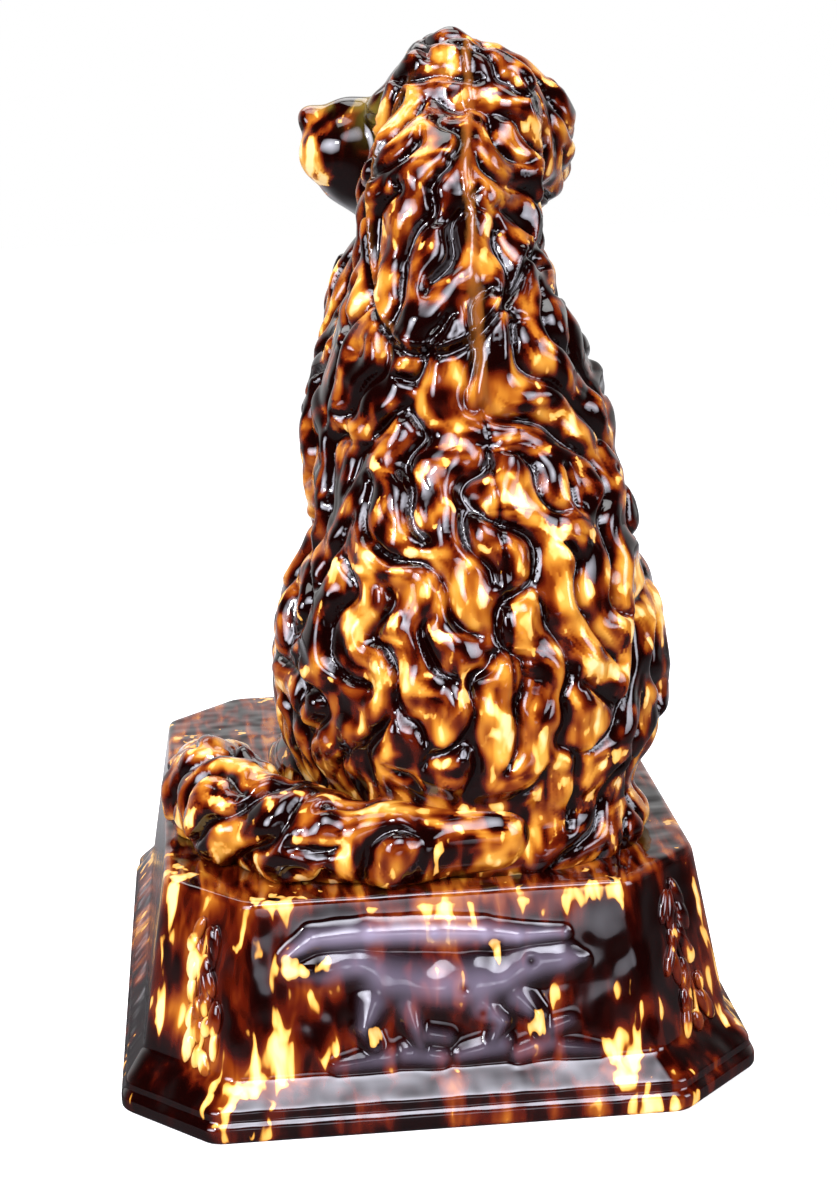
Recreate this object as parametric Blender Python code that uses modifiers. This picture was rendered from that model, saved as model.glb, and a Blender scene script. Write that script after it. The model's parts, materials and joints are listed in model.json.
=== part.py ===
"""A pottery dog seated on a moulded plinth, as the pressings that a potter lutes together.

The dog faces -Y and sits towards one side of the plinth, with its head turned to its left (+X)
and its tail curled round on the same side. Every mass of clay is an ellipsoid or a tapered limb
of a known size. The masses melt into one another by a smooth union, wavy strands of hair are
raised in the skin along the lie of the coat, and the skin is then parted where the moulds part.
"""

import math

import bmesh
import bpy
import numpy as np
from mathutils import Euler, Matrix, Vector
from mathutils.kdtree import KDTree

MM = 0.001

# Plinth: an eight-sided tapered box, its long side front to back
FOOT_WIDTH = 230 * MM
FOOT_DEPTH = 291 * MM
FOOT_CHAMFER = 31.5 * MM
CORNER_LEAN = 1.21
SIDE_LEAN = 0.84
PLINTH_HEIGHT = 79.5 * MM
FOOT_BAND = 7 * MM
BEAD_BAND = 5 * MM
BEAD_SET_IN = 2 * MM
SLOPE_BAND = 7 * MM
SLOPE_SET_IN = 8.5 * MM
WALL_LEAN = 10.5 * MM
PLINTH_WALL = 9 * MM
DECK_THICKNESS = 9 * MM
DECK_ROUND = 4 * MM
VENT_RADIUS = 9 * MM

# Clay wall of the dog, and the joint between two pressings
DOG_WALL = 7 * MM
GAP = 0.3 * MM

# The dog: its height from deck to crown, where it sits on the deck, and how it is turned.
# Its masses are given in modelled millimetres, at which it stands 288 high.
DOG_HEIGHT = 288 * MM
DOG_MM = DOG_HEIGHT / 288
DOG_SIDE_SHIFT = -0.0826 * FOOT_WIDTH
DOG_REAR_SHIFT = 0.0825 * FOOT_DEPTH
DOG_TURN = 6.0
HEAD_TURN = 64.0
HEAD_CENTRE = (-19, -36, 249)
NECK_JOINT = 176 * DOG_MM
VENT_BEHIND = 40 * DOG_MM
EAR_PARTING = 11 * DOG_MM
EAR_PARTING_LEAN = math.radians(9)

# Strands of hair, in modelled millimetres and shares of a strand
SEED_BOX = ((-95, -105, -10), (95, 120, 300))
TAIL_SEED_BOX = ((-20, -50, -5), (125, 110, 50))
SEED_CANDIDATES = 60000
TAIL_CANDIDATES = 9000
STRAND_SEED = 7
SEED_ROOM = 0.42
SEED_REACH = 1.1
IN_STEP_ROUNDS = 24
PLUMPNESS = 3.0
OVERLAP = 0.22
MEAN_RISE = 0.45
FINEST_STRAND = (8.0, 12.0)
RELIEF_KEPT = 1.3  # drawn deeper by this much, because thinning the faces softens the relief
LUTED_MARGIN = 3
LUTED_FADE = 8
BARE_FACE_FROM = 18
BARE_FACE_FADE = 10
BARE_FACE_DEPTH = 42
BARE_FACE_HALF_WIDTH = 30

# How finely the skin is divided, and how many of its faces are kept
SKIN_VOXEL = 2.4 * MM
CORE_VOXEL = 9 * MM
LIMB_VOXEL = 4 * MM
BODY_FACES = 9000
TAIL_FACES = 1100
FORELEG_FACES = 360
PAW_FACES = 220
CORE_FACES = 450

# Half the side of the boxes that part the dog: more than the figure's whole height
CUTTER_REACH = PLINTH_HEIGHT + DOG_HEIGHT + FOOT_WIDTH + FOOT_DEPTH


class Lump:
    """An ellipsoid of clay: a centre, three half-lengths and a turn in degrees, in modelled millimetres."""

    def __init__(self, centre, radii, turn=(0, 0, 0), blend=12):
        spin = Euler([math.radians(angle) for angle in turn]).to_matrix().to_4x4()
        self.place = Matrix.Translation(Vector(centre) * DOG_MM) @ spin
        self.radii = np.array(radii, float) * DOG_MM
        self.blend = blend * DOG_MM

    def moved(self, matrix):
        copy = Lump((0, 0, 0), (1, 1, 1))
        copy.place, copy.radii, copy.blend = matrix @ self.place, self.radii, self.blend
        return copy

    def shrunk(self, wall):
        copy = self.moved(Matrix())
        copy.radii = self.radii - wall
        return copy

    def distance(self, points):
        inverse = np.array(self.place.inverted())
        local = points @ inverse[:3, :3].T + inverse[:3, 3]
        near = np.linalg.norm(local / self.radii, axis=1) + 1e-9
        slope = np.linalg.norm(local / self.radii**2, axis=1) + 1e-9
        return near * (near - 1) / slope

    def rough_shape(self, shape):
        stretch = Matrix.Diagonal((*self.radii, 1))
        bmesh.ops.create_icosphere(shape, subdivisions=3, radius=1, matrix=self.place @ stretch)


class Limb:
    """A round limb that tapers from one end to the other, in modelled millimetres."""

    def __init__(self, start, end, start_radius, end_radius, blend=12):
        self.start, self.end = Vector(start) * DOG_MM, Vector(end) * DOG_MM
        self.start_radius, self.end_radius = start_radius * DOG_MM, end_radius * DOG_MM
        self.blend = blend * DOG_MM

    def moved(self, matrix):
        copy = Limb((0, 0, 0), (0, 0, 1), 1, 1)
        copy.start, copy.end = matrix @ self.start, matrix @ self.end
        copy.start_radius, copy.end_radius = self.start_radius, self.end_radius
        copy.blend = self.blend
        return copy

    def shrunk(self, wall):
        copy = self.moved(Matrix())
        copy.start_radius, copy.end_radius = self.start_radius - wall, self.end_radius - wall
        return copy

    def distance(self, points):
        start, along = np.array(self.start), np.array(self.end - self.start)
        share = np.clip((points - start) @ along / (along @ along), 0, 1)
        radius = self.start_radius + (self.end_radius - self.start_radius) * share
        return np.linalg.norm(points - start - share[:, None] * along, axis=1) - radius

    def rough_shape(self, shape):
        balls = 8
        for step in range(balls + 1):
            centre = self.start.lerp(self.end, step / balls)
            radius = self.start_radius + (self.end_radius - self.start_radius) * step / balls
            place = Matrix.Translation(centre)
            bmesh.ops.create_icosphere(shape, subdivisions=2, radius=radius, matrix=place)


class Clay:
    """Lumps and limbs melted into one mass."""

    def __init__(self, lumps):
        self.lumps = lumps

    def distance(self, points):
        total = self.lumps[0].distance(points)
        for lump in self.lumps[1:]:
            other = lump.distance(points)
            share = np.clip(0.5 + 0.5 * (total - other) / lump.blend, 0, 1)
            total = total + (other - total) * share - lump.blend * share * (1 - share)
        return total

    def normal(self, points):
        step = 0.5 * MM
        slopes = [
            self.distance(points + step * axis) - self.distance(points - step * axis)
            for axis in np.eye(3)
        ]
        slopes = np.stack(slopes, axis=1)
        return slopes / (np.linalg.norm(slopes, axis=1)[:, None] + 1e-12)

    def onto_surface(self, points, rounds):
        for _ in range(rounds):
            points = points - self.normal(points) * self.distance(points)[:, None]
        return points


class Coat:
    """The hair of one region: width, height and length of a bend in millimetres, bend in degrees."""

    def __init__(self, width, height, bend_length, bend):
        self.numbers = np.array((width, height, bend_length, bend), float)


BIG_CURLS = Coat(15.0, 4.0, 40, 56)
SHOULDER_STRANDS = Coat(9.0, 2.6, 52, 28)
EAR_CURLS = Coat(11.5, 3.0, 32, 50)
RUMP_WAVES = Coat(14.0, 2.4, 30, 50)
TAIL_CURLS = Coat(15.0, 3.6, 36, 46)


def both_sides(make):
    """The left piece and its mirror on the right."""
    return [make(1), make(-1)]


def dog_frame():
    """Dog's frame in the plinth's: the deck is at z 0 and the dog faces -y."""
    place = Matrix.Translation((DOG_SIDE_SHIFT, DOG_REAR_SHIFT, PLINTH_HEIGHT))
    return place @ Matrix.Rotation(math.radians(DOG_TURN), 4, "Z")


def head_frame():
    """Head's frame in the dog's: the skull is at the origin and faces -y."""
    turn = Matrix.Rotation(math.radians(HEAD_TURN), 4, "Z")
    return Matrix.Translation(Vector(HEAD_CENTRE) * DOG_MM) @ turn


def in_frame(points, frame):
    """The points as seen from a frame, in modelled millimetres."""
    inverse = np.array(frame.inverted())
    return (points @ inverse[:3, :3].T + inverse[:3, 3]) / DOG_MM


def body_lumps():
    """Rump, ribs, chest, thighs, shoulders and neck."""
    lumps = [
        Lump((0, 46, 52), (59, 48, 56)),
        Lump((0, 46, 6), (60, 45, 18), blend=14),
        Lump((-1, 39, 98), (57, 45, 54), blend=20),
        Lump((-2.5, 12, 130), (55, 46, 59), blend=20),
        Lump((0, 19, 169), (41, 35, 42), blend=20),
        Lump((0, -34, 140), (34, 27, 50), blend=16),
        Lump((9, -32, 180), (32, 26, 41), blend=16),
    ]
    lumps += both_sides(lambda side: Lump((44 * side, 19, 59), (28, 46, 50), blend=11))
    lumps += both_sides(lambda side: Lump((33 * side - 1, -10, 137), (20.5, 33, 47), blend=14))
    return lumps + [Limb((0, 8, 172), (1, 0, 230), 37, 29, blend=16)]


def foreleg_lumps(side):
    return [
        Limb((29 * side, -44, 108), (28 * side, -60, 19), 17, 12.5, blend=10),
        Lump((27 * side, -67, 10), (14, 22, 12), blend=6),
    ]


def hind_paw_lumps(side):
    return [
        Lump((57 * side, -27, 9), (13, 28, 13), blend=5),
        Lump((57 * side, -46, 7), (12, 12, 9), blend=5),
    ]


def skull_lumps():
    return [Lump((0, 4, -1), (31, 34, 32)), Lump((0, -9, 22), (18, 17, 17), blend=10)]


def face_lumps():
    """Brow, muzzle, jaw and throat."""
    lumps = [
        Lump((0, -18, 11), (22, 18, 18), blend=8),
        Limb((0, -26, 3), (0, -57.5, 4), 15, 9, blend=6),
        Lump((0, -44, -15), (12, 17, 11), blend=7),
        Lump((0, -63, 7), (8.5, 5, 6), blend=2),
        Limb((0, -19, -22), (0, 1, -58), 24, 28, blend=14),
    ]
    lumps += both_sides(lambda side: Lump((12 * side, -30, 13), (8, 7, 6), blend=5))
    lumps += both_sides(lambda side: Lump((8 * side, -50, -5), (10, 16.5, 13), blend=5))
    lumps += both_sides(lambda side: Lump((20 * side, -12, -14), (14, 19, 17), blend=8))
    return lumps


def ear_lumps():
    """Long ears that hang flat on the cheeks, the right one carried higher and further forward."""
    lumps = []
    for side, swing, lift in ((1, 0, 0), (-1, 6, 6)):
        root = (30 * side, 2 - swing / 2, 9 - lift / 3)
        middle = (36 * side, -swing, lift - 20)
        tip = (36 * side, -2.4 * swing, lift - 42)
        lumps += [
            Lump(root, (10, 30 - swing / 2, 27 - lift / 3), (0, -10 * side, 0), blend=8),
            Lump(middle, (9.5, 31 - swing / 2, 30 - lift), blend=10),
            Lump(tip, (8.5, 27 - swing, 25 - lift / 2), (0, 5 * side, 0), blend=8),
        ]
    return lumps


def placed(lumps, matrix):
    return [lump.moved(matrix) for lump in lumps]


def smooth_step(low, high, values):
    share = np.clip((values - low) / (high - low), 0, 1)
    return share * share * (3 - 2 * share)


def drift(points, size, seed):
    """A smooth number from -1 to 1 that wanders over the given size, in modelled millimetres."""
    rng = np.random.default_rng(seed)
    total = np.zeros(len(points))
    for _ in range(7):
        way = rng.normal(size=3)
        way *= 2 * math.pi / (size * rng.uniform(0.8, 2.2)) / np.linalg.norm(way)
        total += np.sin(points @ way + rng.uniform(0, 2 * math.pi))
    return np.clip(total / 2.6, -1, 1)


def coat_at(points):
    """Width, height, bend length and bend of the strands at each point."""
    dog, head = in_frame(points, dog_frame()), in_frame(points, dog_frame() @ head_frame())
    chest = smooth_step(22, -6, dog[:, 1] + 0.35 * np.abs(dog[:, 0])) * smooth_step(60, 90, dog[:, 2])
    numbers = BIG_CURLS.numbers + chest[:, None] * (SHOULDER_STRANDS.numbers - BIG_CURLS.numbers)
    low = smooth_step(46, 26, dog[:, 2])
    numbers = numbers + low[:, None] * (RUMP_WAVES.numbers - numbers)
    on_head = smooth_step(-64, -50, head[:, 2]) * smooth_step(62, 50, np.linalg.norm(head, axis=1) * 0.8)
    return numbers + on_head[:, None] * (EAR_CURLS.numbers - numbers)


def tail_coat_at(points):
    return np.tile(TAIL_CURLS.numbers, (len(points), 1))


def coat_pull(points):
    """Which way the hair hangs: down, outwards over the shoulders and back over the haunches."""
    head_place = dog_frame() @ head_frame()
    dog, head = in_frame(points, dog_frame()), in_frame(points, head_place)
    upper = smooth_step(95, 150, dog[:, 2])
    aside = np.clip(dog[:, 0] / 22, -1, 1)
    local = np.stack([0.5 * upper * aside, 0.28 - 0.55 * upper, -np.ones(len(dog))], axis=1)
    pull = local @ np.array(dog_frame())[:3, :3].T
    crown = smooth_step(8, 30, head[:, 2])[:, None]
    back = np.array(head_place)[:3, :3] @ np.array((0, 1.0, -0.4))
    return pull * (1 - crown) + back * crown


def strand_ways(points, normals, coat, pull):
    """The direction across the strands at each point, and the coat's numbers."""
    numbers, pulled = coat(points), pull(points)
    along = pulled - normals * np.sum(normals * pulled, axis=1)[:, None]
    along = along / (np.linalg.norm(along, axis=1)[:, None] + 1e-9)
    dog = in_frame(points, dog_frame())
    swing = np.sin(2 * math.pi * dog[:, 2] / numbers[:, 2] + 3.4 * drift(dog, 52, 3))
    angles = np.radians(numbers[:, 3]) * (0.75 * swing + 0.85 * drift(dog, 22, 4))
    across = np.cross(normals, along)
    bent = along * np.cos(angles)[:, None] + across * np.sin(angles)[:, None]
    return np.cross(normals, bent), numbers


def scattered(clay, box, count, room):
    """Seeds over the surface inside a box of the dog's frame, each with its own room in metres."""
    rng = np.random.default_rng(STRAND_SEED)
    frame = np.array(dog_frame())
    found = rng.uniform(*box, (count, 3)) * DOG_MM @ frame[:3, :3].T + frame[:3, 3]
    found = found[np.abs(clay.distance(found)) < 12 * DOG_MM]
    found = clay.onto_surface(found, 5)
    found = found[np.abs(clay.distance(found)) < 0.1 * DOG_MM]
    rooms = room(found)
    kept, chosen = np.empty((len(found), 3)), []
    for number, point in enumerate(found):
        others = kept[:len(chosen)] - point
        if not chosen or np.einsum("ij,ij->i", others, others).min() > rooms[number] ** 2:
            kept[len(chosen)] = point
            chosen.append(number)
    return found[chosen]


def tree_of(points):
    tree = KDTree(len(points))
    for number, point in enumerate(points):
        tree.insert(point, number)
    tree.balance()
    return tree


class Strands:
    """Seeds of even ripples over a clay, shifted until the ripples of neighbours are in step."""

    def __init__(self, clay, box, candidates, coat, pull):
        self.coat, self.pull = coat, pull
        room = lambda found: coat(found)[:, 0] * SEED_ROOM * DOG_MM
        self.seeds = scattered(clay, box, candidates, room)
        self.normals = clay.normal(self.seeds)
        across, numbers = strand_ways(self.seeds, self.normals, coat, pull)
        self.width = numbers[:, 0] * DOG_MM
        self.ripple = across * (2 * math.pi / self.width)[:, None]
        tree = tree_of(self.seeds)
        near = np.array([[found[1] for found in tree.find_n(seed, 14)] for seed in self.seeds])
        apart = self.seeds[:, None] - self.seeds[near]
        weight = np.exp(-np.sum(apart**2, axis=2) / (0.9 * self.width[:, None]) ** 2)
        weight *= np.clip(np.einsum("ik,ijk->ij", self.normals, self.normals[near]), 0, 1)
        turn = np.sum(apart * (self.ripple[:, None] + self.ripple[near]) / 2, axis=2)
        self.shift = np.random.default_rng(STRAND_SEED).uniform(0, 2 * math.pi, len(self.seeds))
        for _ in range(IN_STEP_ROUNDS):
            self.shift = np.angle(np.sum(weight * np.exp(1j * (turn + self.shift[near])), axis=1))

    def at(self, points, normals):
        """Turn across its strand for each point, how sure that is, and the coat's numbers there."""
        across, numbers = strand_ways(points, normals, self.coat, self.pull)
        ripple = across * (2 * math.pi / (numbers[:, 0] * DOG_MM))[:, None]
        tree = tree_of(points)
        total, weights = np.zeros(len(points), complex), np.full(len(points), 1e-9)
        patches = zip(self.seeds, self.normals, self.ripple, self.shift, self.width)
        for seed, normal, own, shift, width in patches:
            near = np.array([found[1] for found in tree.find_range(seed, SEED_REACH * width)], int)
            if not len(near):
                continue
            apart = points[near] - seed
            weight = np.exp(-np.sum(apart**2, axis=1) / (0.45 * width) ** 2)
            weight *= np.clip(normals[near] @ normal, 0, 1)
            turn = shift + np.sum(apart * (own + ripple[near]) / 2, axis=1)
            total[near] += weight * np.exp(1j * turn)
            weights[near] += weight
        return np.angle(total), np.abs(total) / weights, numbers


def raised_strands(points, normals, strands):
    """How far each point stands out: plump ridges with a furrow between neighbours."""
    turn, sure, numbers = strands.at(points, normals)
    share = turn / math.pi
    ridge = 1 - np.abs(share) ** PLUMPNESS + OVERLAP * share * (1 - share**2)
    whole = smooth_step(0.1, 0.5, sure)
    swell = 1 + 0.4 * drift(in_frame(points, dog_frame()), 15, 5)
    rise = swell * (whole * ridge + (1 - whole) * 0.55) - MEAN_RISE
    return rise * numbers[:, 1] * DOG_MM * RELIEF_KEPT * smooth_step(*FINEST_STRAND, numbers[:, 0])


def evaluated_mesh(obj, name):
    graph = bpy.context.evaluated_depsgraph_get()
    mesh = bpy.data.meshes.new_from_object(obj.evaluated_get(graph))
    mesh.name = name
    return mesh


def rough_union(name, lumps, voxel):
    """The lumps joined by a voxel remesh, before they are drawn onto the smooth surface."""
    shape = bmesh.new()
    for lump in lumps:
        lump.rough_shape(shape)
    mesh = bpy.data.meshes.new(name)
    shape.to_mesh(mesh)
    shape.free()
    obj = bpy.data.objects.new(name, mesh)
    bpy.context.scene.collection.objects.link(obj)
    remesh = obj.modifiers.new("Clay", "REMESH")
    remesh.mode = "VOXEL"
    remesh.voxel_size = voxel
    joined = evaluated_mesh(obj, name)
    bpy.data.objects.remove(obj)
    bpy.data.meshes.remove(mesh)
    return joined


def mesh_points(mesh):
    points = np.empty(len(mesh.vertices) * 3)
    mesh.vertices.foreach_get("co", points)
    return points.reshape(-1, 3)


def evened(mesh, points, rounds):
    """Points moved towards the middle of their neighbours, so that the faces come out alike."""
    ends = np.empty(len(mesh.edges) * 2, int)
    mesh.edges.foreach_get("vertices", ends)
    ends = ends.reshape(-1, 2)
    count = np.bincount(ends.ravel(), minlength=len(points))[:, None]
    for _ in range(rounds):
        total = np.zeros_like(points)
        np.add.at(total, ends[:, 0], points[ends[:, 1]])
        np.add.at(total, ends[:, 1], points[ends[:, 0]])
        points = 0.5 * points + 0.5 * total / count
    return points


def clay_mesh(name, lumps, voxel, faces, hair=None, cover_at=None):
    """A closed skin round the lumps, haired where asked, and thinned to about so many faces."""
    clay = Clay(lumps)
    mesh = rough_union(name, lumps, voxel)
    points = clay.onto_surface(mesh_points(mesh), 6)
    points = clay.onto_surface(evened(mesh, points, 3), 3)
    if hair:
        normals = clay.normal(points)
        raised = raised_strands(points, normals, Strands(clay, *hair)) * cover_at(points)
        points = points + normals * raised[:, None]
    mesh.vertices.foreach_set("co", points.ravel())
    obj = bpy.data.objects.new(name, mesh)
    bpy.context.scene.collection.objects.link(obj)
    thin = obj.modifiers.new("Fewer faces", "DECIMATE")
    thin.ratio = min(1, faces / (2 * len(mesh.polygons)))
    thinned = evaluated_mesh(obj, name)
    bpy.data.objects.remove(obj)
    bpy.data.meshes.remove(mesh)
    return thinned


def coat_cover(points):
    """1 where the dog is shaggy, falling to 0 over the bare face and round the luted joints."""
    local = in_frame(points, dog_frame() @ head_frame())
    front = (-local[:, 1] - BARE_FACE_FROM) / BARE_FACE_FADE
    low = (local[:, 2] + BARE_FACE_DEPTH) / BARE_FACE_FADE
    bare = np.clip(front, 0, 1) * np.clip(low, 0, 1) * (np.abs(local[:, 0]) < BARE_FACE_HALF_WIDTH)
    joined = Clay(applied_lumps()).distance(points) / DOG_MM
    return (1 - bare) * np.clip((joined - LUTED_MARGIN) / LUTED_FADE, 0, 1)


def tail_cover(points):
    """The tail is smooth at its root and bushy from there on."""
    return smooth_step(18, 60, in_frame(points, dog_frame())[:, 0])


def applied_lumps():
    """Every mass that is pressed by itself and luted on: the clay round its joint is wiped smooth."""
    limbs = foreleg_lumps(1) + foreleg_lumps(-1) + hind_paw_lumps(1) + hind_paw_lumps(-1)
    return placed(limbs + tail_lumps(), dog_frame())


def tail_path():
    """Middle of the tail with its radius, in the dog's frame: root first, tip last."""
    return [
        ((5.5, 80, 13), 14),
        ((39.5, 80.5, 13), 13),
        ((70.5, 67, 14), 14.5),
        ((90, 43, 15), 17),
        ((96, 14, 15), 17),
        ((94.5, -12, 12), 13),
        ((88.5, -29.5, 8), 7.5),
    ]


def tail_lumps():
    path = tail_path()
    return [
        Limb(middle, next_middle, radius, next_radius, blend=8)
        for (middle, radius), (next_middle, next_radius) in zip(path, path[1:])
    ]


def tail_pull(points):
    """Hair on the tail runs from its root to its tip, and falls aslant over its sides."""
    middles = np.array([middle for middle, _ in tail_path()], float)
    starts, runs = middles[:-1], np.diff(middles, axis=0)
    offsets = in_frame(points, dog_frame())[:, None] - starts
    part = np.clip(np.sum(offsets * runs, axis=2) / np.sum(runs * runs, axis=1), 0, 1)
    apart = np.linalg.norm(offsets - part[:, :, None] * runs, axis=2)
    along = runs[apart.argmin(axis=1)]
    along = along / np.linalg.norm(along, axis=1)[:, None] + np.array((0, 0, -0.9))
    return along @ np.array(dog_frame())[:3, :3].T


def collection(name):
    found = bpy.data.collections.new(name)
    bpy.context.scene.collection.children.link(found)
    return found


def clay_material(name, colour, roughness=0.12):
    material = bpy.data.materials.new(name)
    material.use_nodes = True
    shader = material.node_tree.nodes["Principled BSDF"]
    shader.inputs["Base Color"].default_value = (*colour, 1)
    shader.inputs["Roughness"].default_value = roughness
    shader.inputs["Metallic"].default_value = 0
    return material


def add_object(name, mesh, home, frame=Matrix()):
    obj = bpy.data.objects.new(name, mesh)
    obj.matrix_world = frame
    home.objects.link(obj)
    return obj


def box_cutter(name, low, high, home, frame):
    """A box between two corners, kept out of the render."""
    shape = bmesh.new()
    low, high = Vector(low), Vector(high)
    size = Matrix.Diagonal((*(high - low), 1))
    bmesh.ops.create_cube(shape, size=1, matrix=Matrix.Translation((low + high) / 2) @ size)
    mesh = bpy.data.meshes.new(name)
    shape.to_mesh(mesh)
    shape.free()
    return as_cutter(add_object(name, mesh, home, frame))


def as_cutter(obj):
    obj.hide_render = True
    obj.display_type = "WIRE"
    return obj


def cut(obj, cutter, operation):
    boolean = obj.modifiers.new(f"{operation.title()} {cutter.name}", "BOOLEAN")
    boolean.operation = operation
    boolean.object = cutter
    boolean.solver = "EXACT"


def grown_copy(mesh, growth):
    """The same skin, moved out along its normals, to cut a neighbour back by the joint's gap."""
    copy = mesh.copy()
    for vertex, normal in zip(copy.vertices, mesh.vertex_normals):
        vertex.co += normal.vector * growth
    return copy


def foot_corners():
    """Plan of the foot: eight corners, anticlockwise from above, starting at the front on the right."""
    x, y = FOOT_WIDTH / 2, FOOT_DEPTH / 2
    near_x, near_y = x - FOOT_CHAMFER, y - FOOT_CHAMFER
    return [
        Vector(corner)
        for corner in (
            (-near_x, -y), (near_x, -y), (x, -near_y), (x, near_y),
            (near_x, y), (-near_x, y), (-x, near_y), (-x, -near_y),
        )
    ]


def side_lean(number):
    """How far a side leans in for each unit that the front and rear walls do."""
    if number % 2:
        return CORNER_LEAN
    return SIDE_LEAN if number % 4 else 1.0


def corner_travel():
    """For each corner, how far it moves in plan for each unit that the front wall is set in."""
    corners = foot_corners()
    travels = []
    for number, corner in enumerate(corners):
        rows, shifts = [], []
        for start, end, side in ((number - 1, number, number - 1), (number, number + 1, number)):
            run = (corners[end % 8] - corners[start % 8]).normalized()
            rows.append((-run.y, run.x))
            shifts.append(side_lean(side))
        travels.append(Vector(np.linalg.solve(np.array(rows), np.array(shifts))))
    return travels


def total_set_in():
    return BEAD_SET_IN + SLOPE_SET_IN + WALL_LEAN


def wall_section():
    """Section of a wall: distances set in from the foot's edge, and heights, round the outline."""
    bead_top = FOOT_BAND + BEAD_BAND
    slope_top = bead_top + SLOPE_BAND
    slope_in = BEAD_SET_IN + SLOPE_SET_IN
    top = PLINTH_HEIGHT - DECK_THICKNESS - GAP
    ease = FOOT_BAND / 5
    outer = [
        (ease, 0), (0, ease), (0, FOOT_BAND - ease), (ease, FOOT_BAND),
        (BEAD_SET_IN, FOOT_BAND + ease), (BEAD_SET_IN + ease / 2, bead_top - ease),
        (BEAD_SET_IN + ease * 1.5, bead_top), (slope_in, slope_top), (total_set_in(), top),
    ]
    inner = [
        (total_set_in() + PLINTH_WALL, top), (slope_in + PLINTH_WALL, slope_top),
        (PLINTH_WALL, FOOT_BAND), (PLINTH_WALL, 0),
    ]
    return outer + inner


def plinth_wall(name, number, home):
    """One pressed slab: the section run along its side of the foot and mitred at both corners."""
    corners, travels = foot_corners(), corner_travel()
    start, end = corners[number], corners[(number + 1) % 8]
    run = (end - start).normalized()
    inward = Vector((-run.y, run.x))
    lean = side_lean(number)
    spare = PLINTH_WALL + total_set_in()
    shape = bmesh.new()
    outline = []
    for set_in, height in wall_section():
        plan = start - run * spare + inward * set_in * lean
        outline.append(shape.verts.new((plan.x, plan.y, height)))
    section = shape.faces.new(outline)
    swept = bmesh.ops.extrude_face_region(shape, geom=[section])
    moved = [item for item in swept["geom"] if isinstance(item, bmesh.types.BMVert)]
    along = run * ((end - start).length + 2 * spare)
    bmesh.ops.translate(shape, verts=moved, vec=(along.x, along.y, 0))
    for corner, travel, outwards in ((start, travels[number], -1), (end, travels[(number + 1) % 8], 1)):
        across = Vector((travel.y, -travel.x, 0)).normalized()
        if across.xy.dot(run) * outwards < 0:
            across = -across
        place = Vector((*corner, 0)) - across * GAP / 2
        every = shape.verts[:] + shape.edges[:] + shape.faces[:]
        parted = bmesh.ops.bisect_plane(
            shape, geom=every, plane_co=place, plane_no=across, clear_outer=True,
        )
        rim = [item for item in parted["geom_cut"] if isinstance(item, bmesh.types.BMEdge)]
        bmesh.ops.contextual_create(shape, geom=rim)
    bmesh.ops.recalc_face_normals(shape, faces=shape.faces)
    mesh = bpy.data.meshes.new(name)
    shape.to_mesh(mesh)
    shape.free()
    return add_object(name, mesh, home)


def plinth_deck(home, cutters):
    """The slab that closes the box, with its upper edge rounded and a vent below the dog."""
    wall_height = PLINTH_HEIGHT - DECK_THICKNESS - FOOT_BAND - BEAD_BAND - SLOPE_BAND
    leaning = total_set_in() + WALL_LEAN * DECK_THICKNESS / wall_height
    shape = bmesh.new()
    low, high = [], []
    for corner, travel in zip(foot_corners(), corner_travel()):
        low.append(shape.verts.new((*(corner + travel * total_set_in()), PLINTH_HEIGHT - DECK_THICKNESS)))
        high.append(shape.verts.new((*(corner + travel * leaning), PLINTH_HEIGHT)))
    for outline in (low, high):
        shape.faces.new(outline)
    for number in range(8):
        shape.faces.new((low[number - 1], low[number], high[number], high[number - 1]))
    rim = [shape.edges.get((high[number - 1], high[number])) for number in range(8)]
    bmesh.ops.bevel(shape, geom=rim, offset=DECK_ROUND, segments=3, profile=0.5, affect="EDGES")
    bmesh.ops.recalc_face_normals(shape, faces=shape.faces)
    mesh = bpy.data.meshes.new("plinth_deck")
    shape.to_mesh(mesh)
    shape.free()
    deck = add_object("plinth_deck", mesh, home)
    drill = bmesh.new()
    bmesh.ops.create_cone(
        drill, cap_ends=True, segments=24, radius1=VENT_RADIUS, radius2=VENT_RADIUS,
        depth=3 * DECK_THICKNESS, matrix=Matrix.Translation(vent_centre()),
    )
    drill_mesh = bpy.data.meshes.new("vent")
    drill.to_mesh(drill_mesh)
    drill.free()
    cut(deck, as_cutter(add_object("vent", drill_mesh, cutters)), "DIFFERENCE")
    return deck


def vent_centre():
    return dog_frame() @ Vector((0, VENT_BEHIND, 0))


def hollow_lumps(dog, head):
    """The room inside the dog: its masses less the clay wall, open towards the deck."""
    lumps = [lump.shrunk(DOG_WALL) for lump in placed(body_lumps(), dog)]
    lumps += [lump.shrunk(DOG_WALL) for lump in placed(skull_lumps(), head)]
    return lumps + placed([Limb((0, 48, 50), (0, 48, -20), 34, 34)], dog)


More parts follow.
